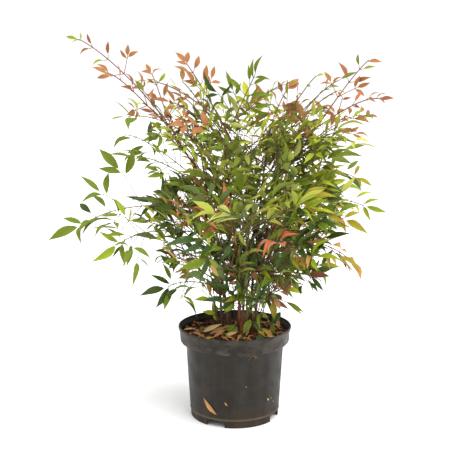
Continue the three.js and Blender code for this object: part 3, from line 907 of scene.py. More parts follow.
outerSprays = {
    "bough_west": [
        outer("west_arch", 1, (-318, 40, 751), "bronze", bare=0.45, leaf=32),
        outer("west_upper", 0.8, (-246, -100, 687), "bronze", bare=0.35, leaf=40),
        outer("west_top", 0.55, (-176, 100, 693), "bronze", bare=0.35, leaf=36),
    ],
    "cane_west": [
        outer("west_lime", 1, (-218, -130, 609), "green", bare=0.35, leaf=54, missing=0.25),
        outer("west_high", 0.8, (-254, 110, 567), "green", bare=0.35, leaf=50, missing=0.3),
    ],
    "cane_southwest": [
        outer("west_middle", 1, (-216, -90, 537), "green", bare=0.3, leaf=44),
        outer("far_west", 0.84, (-346, -60, 383), "green", bare=0.5, leaf=76, missing=0),
        outer("west_low", 0.66, (-248, -140, 365), "green", bare=0.7, leaf=56),
        outer("west_under", 0.46, (-178, 50, 313), "deep", bare=0.4, leaf=60, missing=0.62),
        outer("west_skirt", 0.3, (-174, -90, 279), "green", bare=0.5, leaf=68, missing=0.5),
    ],
    "bough_middle": [
        outer("top_west", 1, (-110, 40, 715), "bronze", bare=0.3, leaf=40),
    ],
    "cane_middle": [
        outer("top_middle", 1, (50, -50, 700), "green", bare=0.4, leaf=50),
    ],
    "cane_northeast": [
        outer("top_east", 1, (114, 80, 667), "bronze", bare=0.3, leaf=42),
    ],
    "bough_east": [
        outer("east_arch", 1, (274, 30, 719), "bronze", bare=0.3, leaf=40),
        outer("east_red", 0.8, (280, -90, 635), "coral", bare=0.35, leaf=36),
        outer("east_orange", 0.52, (294, 110, 599), "bronze", bare=0.35, leaf=46),
    ],
    "cane_east": [
        outer("east_lime", 1, (250, -120, 555), "lime", bare=0.35, leaf=56),
        outer("east_middle", 0.8, (280, 120, 467), "deep", bare=0.35, leaf=56),
        outer("far_east", 0.66, (284, -50, 429), "lime", bare=0.4, leaf=56),
    ],
    "cane_southeast": [
        outer("east_low", 1, (234, -130, 413), "deep", bare=0.35, leaf=54),
        outer("east_under", 0.78, (264, 30, 301), "amber", bare=0.4, leaf=60, missing=0, sag=2),
        outer("east_skirt", 0.5, (200, -60, 279), "deep", bare=0.4, leaf=46, missing=0.75),
    ],
}
innerSprays = {
    "domes": [
        domeAt((34, 0, 427), (152, 205, 196), 18, 0.94, -0.72),
        domeAt((34, 0, 427), (152, 205, 196), 5, 0.75, -0.6, size=0.6),
    ],
    "firstHeading": 250,
    "carriers": canes,
    "crowding": 0.07,
    "bare": 0.5,
    "leaf": 68,
    "tintsFromTop": ["bronze", "lime", "green", "lime", "green", "deep", "deep"],
    "thinned": {1: 0.55, 2: 0.55, 3: 0.3, 6: 0.35, 14: 0.7, 15: 0.75, 16: 0.5, 17: 0.6},
}
fillSprays = {  # finer sprays that close the crown between the others
    "domes": [
        domeAt((-124, -10, 444), (58, 130, 42), 9, 0.9, -0.6),
        domeAt((-116, 0, 606), (46, 110, 54), 6, 0.6, -0.8, leaf=52, missing=0.22),
        domeAt((-164, 0, 660), (60, 90, 30), 5, 0.6, -0.8, leaf=40),
        domeAt((144, 0, 512), (62, 140, 96), 10, 0.88, -0.8),
        domeAt((176, 0, 430), (52, 120, 36), 5, 0.8, -0.6),
        domeAt((180, 0, 572), (60, 110, 46), 7, 0.8, -0.8, leaf=54),
        domeAt((176, 0, 670), (60, 80, 30), 5, 0.6, -0.8, leaf=40),
        domeAt((-180, 0, 446), (16, 50, 12), 2, 0.5, -0.5, leaf=54, missing=0.4),
        domeAt((190, 20, 340), (46, 60, 14), 2, 0.5, -0.5, leaf=56, missing=0.5),
        domeAt((-178, -20, 362), (16, 50, 8), 2, 0.5, -0.5, leaf=54, missing=0.66),
        domeAt((32, 0, 284), (60, 92, 56), 4, 0.9, -0.8, leaf=66),
    ],
    "firstHeading": 205,
    "carriers": canes + boughs,
    "crowding": 0.02,
    "bare": 0.35,
    "leaf": 62,
    "tintsFromTop": ["green"],
    "thinned": {},
}
domed = {"goldenAngle": 137.5, "shift": 0.5, "roll": 75}
seats = {  # places on the limbs, tried from the one that suits the wishes best
    "lowest": 0.3,
    "highest": 0.97,
    "tried": 24,
    "wishedReach": 185,
    "wishedRise": 36,
    "riseCost": 2.5,
}
shoots = {  # they rise from the soil by themselves
    "plans": [
        {"foot": (8, -34), "tip": (20, -64, 303), "leaf": 56},
        {"foot": (-6, 6), "tip": (-22, -40, 333), "leaf": 50, "missing": 0.4},
        {"foot": (24, 12), "tip": (66, -34, 325), "leaf": 56},
        {"foot": (46, 14), "tip": (98, 10, 295), "leaf": 48, "missing": 0.3},
        {"foot": (0, 44), "tip": (-10, 74, 321), "leaf": 56},
        {"foot": (26, 46), "tip": (60, 78, 303), "leaf": 54},
        {"foot": (-34, 26), "tip": (-58, 48, 318), "leaf": 52, "missing": 0.62},
        {"foot": (40, -12), "tip": (74, -34, 271), "leaf": 46, "missing": 0.35},
        {"foot": (-30, 14), "tip": (-54, 0, 262), "leaf": 40, "missing": 0.65, "tint": "green"},
        {"foot": (16, -46), "tip": (14, -68, 262), "leaf": 50},
        {"foot": (36, -36), "tip": (54, -60, 256), "leaf": 48},
        {"foot": (28, -8), "tip": (34, -34, 290), "leaf": 54},
    ],
    "buried": 2,
    "bend": {"at": 0.3, "lift": 0.25},
    "bare": 0.55,
    "heartAt": (0.55, 0.8, 1),
    "tint": "deep",
}


def outerPlans():
    usual = {"facing": headed(front, growth["faceRise"]), "roll": growth["roll"]}
    return [{**plan, **usual, "from": limb} for limb, plans in outerSprays.items() for plan in plans]


def missingAt(tip):  # the share of leaflets left out, so that the sky shows above and below
    return float(np.interp(tip.z, *zip(*growth["missingAt"])))


def domePlans(look, name):
    plans = []
    tints = look["tintsFromTop"]
    for number, dome in enumerate(look["domes"]):
        centre, radii = Vector(dome["centre"]), Vector(dome["radii"])
        for i in range(dome["count"]):
            height = lerp(dome["top"], dome["bottom"], i / (dome["count"] - 1))
            heading = look["firstHeading"] + domed["goldenAngle"] * (i + domed["shift"] * number)
            onUnit = headed(heading, math.degrees(math.asin(height)))
            tip = onUnit * radii * dome.get("size", 1) + centre
            depth = (centre.z + radii.z - tip.z) / (2 * radii.z)
            nth = len(plans) + 1
            plans.append({
                "name": f"{name}_{nth:02d}", "tip": tip, "facing": up, "roll": domed["roll"],
                "tint": tints[int(depth * len(tints))], "bare": look["bare"],
                "leaf": dome.get("leaf", look["leaf"]), "crowding": look["crowding"],
                "missing": look["thinned"].get(nth, dome.get("missing", missingAt(tip))),
                "carriers": look["carriers"],
            })
    return plans


def growShoot(plan):
    start = Vector((*plan["foot"], soil["level"] - shoots["buried"]))
    end = Vector(plan["tip"])
    bend = shoots["bend"]
    curve = [start, start.lerp(end, bend["at"]) + up * bend["lift"] * (end.z - start.z), end]
    name = f"shoot_{shoots['plans'].index(plan) + 1:02d}"
    grown = newLimb(name, curve, lambda share: stalk["tipRadius"])
    heart = [pointOn(curve, share)[0] for share in shoots["heartAt"]]
    return {"tint": shoots["tint"], **plan, **grown, "bare": shoots["bare"], "roll": domed["roll"],
            "facing": up, "limb": None, "at": 0, "cut": up, "heart": heart}


def seatsFor(plan, sprays):  # the likeliest places on the limbs for a spray, best first
    if "from" in plan:
        return [(limbs[plan["from"]], plan["at"])]
    tip = Vector(plan["tip"])
    tried = seats["tried"]
    shares = [lerp(seats["lowest"], seats["highest"], k / (tried - 1)) for k in range(tried)]
    found = []
    for carrier in plan["carriers"]:
        limb = limbs[carrier["name"]]
        for at in [*shares, 1]:
            if any(s["limb"] is limb and abs(s["at"] - at) <= plan["crowding"] for s in sprays):
                continue
            chord = tip - pointOn(limb["curve"], at)[0]
            rise = math.degrees(math.asin(chord.z / chord.length))
            reachCost = abs(chord.length - seats["wishedReach"])
            found.append((reachCost + seats["riseCost"] * abs(rise - seats["wishedRise"]), limb, at))
    found.sort(key=lambda seat: seat[0])
    return [(limb, at) for _, limb, at in found[:tried]]


def growStalk(plan, sprays):  # turned aside where something is in its way, or else left out
    tip = Vector(plan["tip"])

    def radiusAt(share):
        return lerp(stalk["radius"], stalk["tipRadius"], share)

    for limb, at in seatsFor(plan, sprays):
        foot = pointOn(limb["curve"], at)[0]
        wished = tip - foot
        length = wished.length - stalk["endLeaf"] * plan["leaf"]
        flatness = math.hypot(wished.x, wished.y) / wished.length
        for turn in range(stalk["turns"]):
            aside = stalk["turnStep"] * math.ceil(turn / 2) * (1 if turn % 2 else -1)
            direction = turnAbout(wished.normalized(), up, math.radians(aside))
            start, cut = seatOn(limb, at, headingOf(wished) + aside, stalk["radius"])
            curve = archTo(start, cut, foot + direction * length, stalk["arch"] * flatness ** 2)
            grown = newLimb(plan["name"], curve, radiusAt, limb["name"])
            path, radii = grown["path"], grown["radii"]
            steps = range(len(path) - 1)
            near = [[limb["name"], limb["parent"]] if i < room["touching"] else () for i in steps]
            if all(isClear(path[i], path[i + 1], radii[i + 1], near[i]) for i in steps):
                heartAt = (plan["bare"], (1 + plan["bare"]) / 2, 1)
                heart = [pointOn(curve, share)[0] for share in heartAt]
                return {**plan, **grown, "limb": limb, "at": at, "cut": cut, "heart": heart}
    return None


# How a spray grows: a bare stalk, then pairs of twigs that shorten towards its tip, each with
# leaflets along it and at its end, and three leaflets at the stalk's own end.

growth = {
    "seed": 42,
    "seedStep": 977,
    "waver": 17,
    "roll": 24,
    "faceRise": 38,
    "shares": [1, 0.82, 0.66, 0.52],  # of a twig's or a leaflet's length, until one is free
    "smallLeaf": 42,  # up to this length of leaf a spray has few twigs
    "outerLeaf": 0.98,
    "innerLeaf": 0.94,
    "varies": 0.3,
    "sag": 0.04,
    "outward": 0.8,  # how far the face of an inner spray may lean from the axis
    "level": 0.5,  # how much of its downward lean a leaflet keeps
    "tipLeaves": 3,
    # twigs by their length and leaflet size, as shares of the spray's leaf, then the pairs of leaflets
    # along one and the leaflets at its end
    "innerTiers": [
        (1.7, 0.95, 2, 3),
        (1.3, 0.92, 1, 3),
        (0.9, 0.86, 1, 3),
        (0.5, 0.8, 0, 3),
        (0.12, 0.76, 0, 1),
    ],
    "fullTiers": [
        (1.2, 0.94, 0, 3),
        (0.8, 0.86, 0, 3),
        (0.16, 0.86, 0, 1),
        (0.12, 0.74, 0, 1),
    ],
    "sparseTiers": [
        (1.1, 0.9, 0, 3),
        (0.2, 0.9, 0, 1),
        (0.14, 0.8, 0, 1),
    ],
    "missing": 0.1,
    "missingAt": [(300, 0.42), (340, 0.14), (530, 0.12), (570, 0.3), (630, 0.44)],
    "sizeAt": [(270, 1.2), (400, 1.16), (500, 1.06), (640, 0.94)],
}
twig = {
    "radius": 0.8,
    "tipRadius": 0.6,
    "spread": 50,
    "lift": (-0.2, 0.4),
    "rise": 0.14,
    "sag": 0.06,
    "steps": 4,
    "clearFrom": 2,
    "pairShift": 0.05,
}
leaflet = {
    "spread": 54,
    "endSpread": (0.8, 1.15),
    "sideSpread": (0.9, 1.3),
    "sideBack": 0.14,
    "sideSize": 0.8,
    "stem": 0.09,
    "endStem": 0.16,
    "stemRadius": 0.54,
    "stemInLeaf": 0.04,
    "droop": 0.06,
    "guard": 0.5,  # the share of a leaflet's half width that has to be free
    "faceRoll": 34,
    "uprightness": 0.2,
    "strays": 0.07,  # the share of leaflets whose tint is picked again
}
tintMixes = {  # how many of each tint; the pale tint is a painted highlight
    "bronze": {"bronze": 5, "copper": 2.4, "fresh": 1, "mid": 0.6},
    "coral": {"coral": 3, "copper": 4, "bronze": 2, "fresh": 1.5},
    "amber": {"amber": 5, "olive": 2, "copper": 1, "dark": 1},
    "lime": {"lime": 2, "pale": 5, "fresh": 2.6, "bronze": 0.4},
    "green": {"mid": 6, "fresh": 1.6, "dark": 2},
    "deep": {"dark": 4, "mid": 3.6, "blueGreen": 1.4, "olive": 0.8, "coral": 0.2, "tan": 0.3},
    "top": {"fresh": 3, "lime": 2, "mid": 2.2, "dark": 0.6, "bronze": 2, "copper": 0.8, "pale": 2.4},
    "bright": {"lime": 4, "pale": 2.6, "fresh": 3, "mid": 2, "dark": 1.4, "olive": 1.2, "bronze": 0.4},
    "middle": {"lime": 3, "fresh": 3.2, "pale": 0.8, "mid": 2.6, "dark": 2, "olive": 1},
    "low": {"mid": 3.6, "dark": 3, "fresh": 1.4, "blueGreen": 1.2, "olive": 0.4, "amber": 0.5,
            "tan": 0.3},
    "shade": {"dark": 3.4, "mid": 2, "blueGreen": 1.6, "tan": 1.2, "brown": 0.8, "amber": 0.8,
              "olive": 0.6},
    "inside": {"mid": 3, "fresh": 4, "dark": 2, "lime": 3, "pale": 0.6, "olive": 0.6},
    "rosy": {"coral": 4, "copper": 0.8, "fresh": 2, "mid": 1.6},
    "rusty": {"coral": 3, "amber": 1, "copper": 1.6, "dark": 2, "mid": 1.6},
    "bronzed": {"bronze": 4.5, "copper": 2, "lime": 2, "fresh": 2.5, "mid": 1, "olive": 1},
}
# The outer sprays and the shoots have a mix of their own. Any other twig takes the mix of the zone
# that it is in, or else that of its height.
tintZones = [  # mix, centre and radii
    ("rosy", (-60, -90, 404), (54, 90, 28)),
    ("rusty", (110, -70, 368), (130, 100, 14)),
    ("amber", (210, 20, 316), (80, 100, 30)),
    # the low zones make the crown's sides darker: partly the leaves' own colour, partly painted shade
    ("low", (-138, 0, 420), (58, 150, 50)),
    ("low", (176, 0, 372), (60, 150, 32)),
    ("bronzed", (142, 0, 584), (72, 150, 52)),
    ("bronzed", (-96, 0, 613), (60, 150, 50)),
    ("inside", (36, 0, 427), (96, 84, 110)),
]
# by height the mixes run from dark tints low down to pale ones on top: partly the leaves' own colour,
# partly painted shade under the crown and painted highlight on its top
tintLevels = [(295, "shade"), (371, "low"), (433, "middle"), (563, "bright"), (903, "top")]
leafWidths = {  # least and most, as shares of the length
    "bronze": (0.3, 0.43),
    "coral": (0.17, 0.28),
    "copper": (0.26, 0.4),
    "lime": (0.17, 0.27),
    "pale": (0.17, 0.27),
    "fresh": (0.19, 0.29),
}
usualWidths = (0.21, 0.32)
stemSkins = {
    "bronze": "crimson", "coral": "crimson", "amber": "crimson",
    "lime": "olive", "green": "olive", "deep": "brown",
}

leaves = {}
stems = {}


def addStem(skin, kind, points, radii):
    stems.setdefault((kind, skin), []).append(([Vector(p) for p in points], list(radii)))


def heartDistances(point):
    starts, ends = hearts[:, :-1], hearts[:, 1:]
    lines = ends - starts
    shares = np.clip(((point - starts) * lines).sum(2) / (lines * lines).sum(2), 0, 1)
    return np.linalg.norm(starts + shares[:, :, None] * lines - point, axis=2).min(1)


def inOwnSpace(point, index):
    point = np.array(point)
    low, high = leafBox
    if point[2] < pot["height"] + room["clearance"] or (point < low).any() or (point > high).any():
        return False
    distances = heartDistances(point)
    own = distances[index]
    distances[index] = np.inf
    return own < distances.min() + room["sharing"]


def pickTint(mix, draw):
    return draw.choices([*mix], mix.values())[0]


def mixAt(point, spray):
    if "from" in spray or "foot" in spray:
        return tintMixes[spray["tint"]]
    for mix, centre, radii in tintZones:
        if sum(((point[i] - centre[i]) / radii[i]) ** 2 for i in range(3)) < 1:
            return tintMixes[mix]
    return tintMixes[next(name for level, name in tintLevels if point.z < level)]


def waver(draw, angle):
    return math.radians(angle) * (2 * draw.random() - 1)


def addLeaf(spray, node, direction, face, size, tint, stemShare):  # shortened until it is free
    draw = spray["draw"]
    side = face.cross(direction).normalized()
    ratio = draw.uniform(*leafWidths.get(tint, usualWidths))
    full = size * (1 - growth["varies"] * draw.random())
    shape = draw.randrange(len(blade["shapes"]))
    for share in growth["shares"]:
        length = full * share
        start = node + direction * stemShare * length
        tip = start + direction * length - face * leaflet["droop"] * length
        middle = start.lerp(tip, blade["broadest"])
        edges = [middle + side * hand * ratio * length / 2 for hand in (1, -1)]
        free = all(inOwnSpace(point, spray["index"]) for point in (tip, *edges))
        if free and isClear(start, tip, leaflet["guard"] * ratio * length / 2, [spray["name"]]):
            if draw.random() < leaflet["strays"]:
                tint = pickTint(mixAt(start, spray), draw)
            leaves.setdefault(tint, []).append((start, direction, face, length, ratio, shape))
            end = start + direction * leaflet["stemInLeaf"] * length
            addStem(spray["stemSkin"], "twigs", [node, end], [leaflet["stemRadius"]] * 2)
            return


def addTurned(spray, node, forward, face, turn, size, tint, stemShare):
    draw = spray["draw"]
    if draw.random() < spray.get("missing", growth["missing"]):
        return
    direction = turnAbout(forward, face, math.radians(turn) + waver(draw, growth["waver"]))
    direction = direction - up * spray.get("sag", growth["sag"]) * draw.random()
    direction.z *= 1 if direction.z > 0 else growth["level"]
    direction.normalize()
    wish = squareTo(face.lerp(up, leaflet["uprightness"]), direction)
    rolled = turnAbout(wish, direction, waver(draw, leaflet["faceRoll"]))
    addLeaf(spray, node, direction, rolled, size, tint, stemShare)


def addFan(spray, end, forward, face, count, size, tint):
    draw = spray["draw"]
    addTurned(spray, end, forward, face, 0, size, tint, leaflet["endStem"])
    if count > 1:
        for hand in (1, -1):
            turn = hand * leaflet["spread"] * draw.uniform(*leaflet["endSpread"])
            back = end - forward * leaflet["sideBack"] * size * draw.random()
            addTurned(spray, back, forward, face, turn, size * leaflet["sideSize"], tint, leaflet["stem"])


def addTwig(spray, node, forward, face, hand, tier):
    draw = spray["draw"]
    tint = pickTint(mixAt(node, spray), draw)
    heading = turnAbout(forward, face, hand * math.radians(twig["spread"]) + waver(draw, growth["waver"]))
    heading = (heading + face * lerp(*twig["lift"], draw.random()) + up * twig["rise"]).normalized()
    twigLength, leafShare, pairs, atEnd = tier
    length = twigLength * spray["leafSize"] * (1 - growth["varies"] * draw.random())
    for share in growth["shares"]:
        reach = length * share
        first = node + heading * reach / 2
        end = node + heading * reach - up * twig["sag"] * reach
        near = node + heading * twig["clearFrom"]
        if inOwnSpace(end, spray["index"]) and isClear(near, end, twig["radius"], [spray["name"]]):
            break
    else:
        return
    curve = [node, first, end]
    shares = [i / twig["steps"] for i in range(twig["steps"] + 1)]
    radii = [lerp(twig["radius"], twig["tipRadius"], share) for share in shares]
    addStem(spray["stemSkin"], "twigs", [pointOn(curve, share)[0] for share in shares], radii)
    size = spray["leafSize"] * leafShare
    for pair in range(pairs):
        at, along = pointOn(curve, (pair + 1) / (pairs + 1) + twig["pairShift"])
        for side in (1, -1):
            turn = side * leaflet["spread"] * draw.uniform(*leaflet["sideSpread"])
            small = size * leaflet["sideSize"]
            addTurned(spray, at, along, squareTo(face, along), turn, small, tint, leaflet["stem"])
    along = pointOn(curve, 1)[1]
    addFan(spray, end, along, squareTo(face, along), atEnd, size, tint)


def addStalk(spray):
    steps = 2 * room["stretches"]
    points, radii = [], []
    for share in (i / steps for i in range(steps + 1)):
        flare = 1 + stalk["flare"] * math.exp(-share * spray["reach"] / stalk["flareHeight"])
        points.append(pointOn(spray["curve"], share)[0])
        radii.append(lerp(stalk["radius"], stalk["tipRadius"], share) * flare)
    points[0] = points[0] - spray["cut"] * 2 * bark["gap"]  # across the gap, into its limb
    addStem(spray["stemSkin"], "stalks", points, radii)


def growSpray(spray):
    draw = random.Random(growth["seed"] + growth["seedStep"] * (spray["index"] + 1))
    inner = "from" not in spray
    middle, tip = spray["heart"][1:]
    leafSize = spray["leaf"] * growth["innerLeaf" if inner else "outerLeaf"]
    if inner:
        leafSize *= np.interp(tip.z, *zip(*growth["sizeAt"]))
    spray = {**spray, "draw": draw, "leafSize": leafSize, "stemSkin": stemSkins[spray["tint"]]}
    addStalk(spray)

    sparse = spray["leaf"] <= growth["smallLeaf"]
    tiers = growth["sparseTiers" if sparse else "innerTiers" if inner else "fullTiers"]
    roll = waver(draw, spray["roll"])
    facing = spray["facing"]
    if inner:
        away = Vector((middle.x, middle.y, 0)).normalized()
        facing = (up + away * growth["outward"] * draw.random()).normalized()
    for pair in range(len(tiers) + 1):
        node, forward = pointOn(spray["curve"], lerp(spray["bare"], 1, pair / len(tiers)))
        face = turnAbout(forward.cross(facing).normalized(), forward, roll).cross(forward)
        if pair < len(tiers):
            addTwig(spray, node, forward, face, 1, tiers[pair])
            addTwig(spray, node, forward, face, -1, tiers[pair])
        else:
            tint = pickTint(mixAt(node, spray), draw)
            addFan(spray, node, forward, face, growth["tipLeaves"], leafSize, tint)


# Single leaves: some hang low from a thin stem, some lean or lie on the soil, and some stick to the
# pot's wall.

hangingLeaves = [  # tint, width as a share of the length, foot and tip
    ("olive", 0.36, (74, -10, 231), (79, -14, 193)),
    ("tan", 0.42, (77, -12, 237), (89, -16, 214)),
    ("lime", 0.36, (-38, 40, 193), (-67, 42, 194)),
    ("fresh", 0.6, (-36, 40, 194), (-46, 37, 215)),
    ("lime", 0.45, (-43, 40, 191), (-33, 34, 175)),
    ("fresh", 0.32, (-49, -40, 244), (-79, -43, 241)),
    ("amber", 0.28, (-53, -20, 279), (-45, -25, 244)),
    ("brown", 0.5, (-26, 0, 279), (-11, -4, 267)),
    ("brown", 0.5, (-27, 0, 267), (-41, -4, 247)),
    ("brown", 0.4, (-40, -4, 250), (-17, -8, 243)),
    ("mid", 0.36, (-47, -30, 285), (-18, -34, 306)),
    ("dark", 0.3, (-46, -30, 282), (-15, -36, 253)),
    ("tan", 0.2, (46, -20, 305), (62, -27, 265)),
    ("tan", 0.3, (30, -30, 303), (44, -37, 271)),
    ("brown", 0.4, (42, -20, 289), (58, -26, 267)),
    ("tan", 0.2, (97, -30, 325), (131, -35, 324)),
    ("amber", 0.55, (118, -30, 327), (123, -36, 294)),
    ("lime", 0.3, (100, -30, 261), (134, -37, 256)),
    ("olive", 0.4, (88, -26, 295), (116, -32, 285)),
    ("mid", 0.2, (100, -20, 232), (136, -26, 211)),
    ("fresh", 0.18, (106, -20, 229), (133, -28, 208)),
]
leaningLeaves = [
    ("tan", 0.3, (26, 24, 203), (19, 12, 173)),
    ("tan", 0.4, (37, 30, 199), (52, 12, 173)),
    ("tan", 0.4, (84, 16, 188), (90, 6, 171)),
    ("blueGreen", 0.42, (91, 10, 204), (73, 0, 178)),
    ("mid", 0.3, (73, -2, 180), (79, -34, 171)),
    ("mid", 0.5, (-16, -46, 182), (0, -52, 197)),
    ("mid", 0.5, (6, -46, 188), (-8, -52, 179)),
    ("mid", 0.42, (31, -50, 205), (17, -60, 177)),
    ("dark", 0.36, (34, -46, 200), (56, -56, 183)),
    ("blueGreen", 0.45, (40, -64, 175), (59, -70, 173)),
    ("olive", 0.36, (42, -48, 192), (60, -60, 174)),
    ("straw", 0.2, (-62, -26, 173), (-24, -36, 194)),
    ("tan", 0.2, (-41, -62, 173), (-16, -56, 189)),
    ("straw", 0.28, (-18, -52, 174), (6, -56, 183)),
    ("tan", 0.24, (22, -54, 173), (27, -50, 206)),
    ("amber", 0.2, (50, -48, 188), (77, -60, 173)),
    ("tan", 0.18, (-48, -40, 173), (-12, -30, 188)),
]
lyingLeaves = [  # foot and tip are x and y on the soil
    ("olive", 0.2, (-75, 33), (-54, 8)),
    ("coral", 0.3, (34, -2), (58, -16)),
    ("tan", 0.2, (-84, -14), (-62, -46)),
    ("straw", 0.3, (85, -16), (103, -12)),
    ("straw", 0.16, (50, 44), (80, 36)),
    ("tan", 0.16, (16, -62), (34, -74)),
    ("amber", 0.16, (-20, -58), (2, -70)),
]
strewnLeaves = {
    "count": 150,
    "seed": 12,
    "reach": 98,
    "length": (8, 30),
    "width": (0.1, 0.26),
    "tilt": 40,
    "lean": 0.4,
    "above": 3,
    "inside": 2,
    "tints": {"tan": 5, "straw": 2, "brown": 3, "amber": 2.4, "olive": 0.7, "mid": 0.5},
}
wallLeaves = [  # foot and tip are heading and height on the pot's wall
    ("tan", 0.2, (-112.5, 26), (-132, 54)),
    ("tan", 0.34, (-101.8, 53.5), (-98.1, 45.8)),
    ("straw", 0.5, (-46, 52), (-43.5, 48)),
    ("tan", 0.4, (-40, 52), (-38, 49)),
    ("tan", 0.5, (-35, 43), (-32.8, 40)),
    ("tan", 0.5, (-76.8, 86), (-75.8, 83)),
]
wallRoots = [  # a dry rootlet that sticks to the wall, as headings and heights
    [(-74.2, 138), (-71.4, 145), (-66.3, 147), (-63, 141)],
    [(-71.4, 145), (-74, 147), (-77, 145)],
    [(-69, 146), (-66, 143), (-65.5, 139)],
]
looseLeaf = {
    "flatShape": 2,
    "hangingFace": (0, -1, 0.4),
    "leaningFace": (0, -1, 0.6),
    "aboveSoil": 4,
    "offWall": 0.7,
    "rootRadius": 0.55,
    "stem": {"bow": 0.12, "steps": 4, "thicker": 1.3},
}


def addLooseLeaf(tint, width, start, end, face, shape):
    along = (end - start).normalized()
    place = (start, along, squareTo(face, along), (end - start).length, width, shape)
    leaves.setdefault(tint, []).append(place)


def onSoil(x, y, above):
    return Vector((x, y, soilHeightAt(x, y) + above))


def onWall(heading, height):
    share = (height - pot["skirtHeight"]) / (collarFoot - pot["skirtHeight"])
    radius = lerp(pot["footRadius"], pot["shoulderRadius"], share) + looseLeaf["offWall"]
    return headed(heading) * radius + up * height


def hangStem(end):  # runs to the nearest limb or stalk
    stem = looseLeaf["stem"]
    middles = (paths["starts"] + paths["ends"]) / 2
    nearest = Vector(middles[np.linalg.norm(middles - np.array(end), axis=1).argmin()])
    bow = end.lerp(nearest, 0.5) + up * stem["bow"] * (end - nearest).length
    points = [pointOn([nearest, bow, end], i / stem["steps"])[0] for i in range(stem["steps"] + 1)]
    addStem("brown", "twigs", points, [leaflet["stemRadius"] * stem["thicker"]] * len(points))


def strewLeaves():
    look = strewnLeaves
    draw = random.Random(look["seed"])
    farthest = soilRadius - look["inside"]
    for _ in range(look["count"]):
        centre = headed(draw.uniform(0, 360)) * look["reach"] * math.sqrt(draw.random())
        length = draw.uniform(*look["length"])
        half = headed(draw.uniform(0, 360), draw.uniform(-0.5, 0.5) * look["tilt"]) * length / 2
        width = draw.uniform(*look["width"])
        tint = pickTint(look["tints"], draw)
        shape = draw.randrange(len(blade["shapes"]))
        middle = onSoil(centre.x, centre.y, look["above"] + abs(half.z))
        face = (up + headed(draw.uniform(0, 360)) * look["lean"]).normalized()
        if all(math.hypot(*end.xy) < farthest for end in (middle + half, middle - half)):
            addLooseLeaf(tint, width, middle - half, middle + half, face, shape)


def addSingleLeaves():
    flat = looseLeaf["flatShape"]
    for number, (tint, width, foot, tip) in enumerate(hangingLeaves):
        hangStem(Vector(foot))
        face = Vector(looseLeaf["hangingFace"])
        addLooseLeaf(tint, width, Vector(foot), Vector(tip), face, number % len(blade["shapes"]))
    for tint, width, foot, tip in leaningLeaves:
        addLooseLeaf(tint, width, Vector(foot), Vector(tip), Vector(looseLeaf["leaningFace"]), flat)
    for tint, width, *ends in lyingLeaves:
        foot, tip = [onSoil(*end, looseLeaf["aboveSoil"]) for end in ends]
        addLooseLeaf(tint, width, foot, tip, up, flat)
    for root in wallRoots:
        addStem("straw", "twigs", [onWall(*place) for place in root], [looseLeaf["rootRadius"]] * len(root))
    for tint, width, foot, tip in wallLeaves:
        addLooseLeaf(tint, width, onWall(*foot), onWall(*tip), headed((foot[0] + tip[0]) / 2), flat)
    strewLeaves()


# A leaflet: a folded, arching blade, closed above and below, one long and one wide before each
# place scales it.

blade = {
    "stations": [0, 0.1, 0.24, 0.4, 0.57, 0.74, 0.88, 1],
    "broadest": 0.42,
    "baseBlunt": 1.1,
    "tipSharp": 1.35,
    "usualWidth": 0.32,
    "thick": 0.007,
    "sharpAngle": 24,
    "shapes": [  # lift, droop, fold, twist and bend
        (0.08, 0.06, 22, 8, 0.03),
        (0.14, 0.2, 26, -12, -0.05),
        (0.04, 0, 18, 18, 0.06),
        (0.12, 0.12, 30, -5, 0.02),
        (0.02, 0.04, 20, -20, -0.07),
        (0.14, 0.28, 24, 14, 0.04),
    ],
}
tints = {  # slot, upper side and underside
    "bronze": ("leaf_bronze", (156, 105, 62), (166, 122, 80)),
    "copper": ("leaf_bronze", (140, 87, 52), (156, 107, 70)),
    "coral": ("leaf_coral", (176, 98, 66), (188, 126, 96)),
    "amber": ("leaf_amber", (172, 132, 62), (178, 146, 86)),
    "lime": ("leaf_lime", (166, 172, 42), (176, 180, 74)),
    # pale is a painted highlight: whole leaflets paler all over, where their gloss would catch the light
    "pale": ("leaf_lime", (182, 184, 84), (186, 188, 104)),
    "olive": ("leaf_lime", (146, 134, 40), (156, 148, 70)),
    "fresh": ("leaf_green", (136, 150, 36), (152, 160, 64)),
    "mid": ("leaf_green", (100, 117, 29), (122, 134, 55)),
    "dark": ("leaf_deep", (60, 77, 29), (92, 106, 52)),
    "blueGreen": ("leaf_deep", (62, 84, 40), (96, 115, 66)),
    "tan": ("leaf_amber", (172, 126, 76), (180, 140, 94)),
    "straw": ("leaf_amber", (206, 174, 120), (204, 176, 130)),
    "brown": ("leaf_amber", (104, 62, 34), (122, 82, 50)),
}
leafFinish = {
    "shine": {"Specular IOR Level": 0.16},
    "roughness": {"upper": 0.5, "under": 0.7},
    "rougher": (-0.1, 0.12),
    "spots": {"scale": 60, "detail": 3, "between": (0.3, 0.7)},
    "veins": {"scale": 380, "detail": 3, "roughness": 0.6},
    "relief": {"strength": 0.3, "depth": 0.6},
}


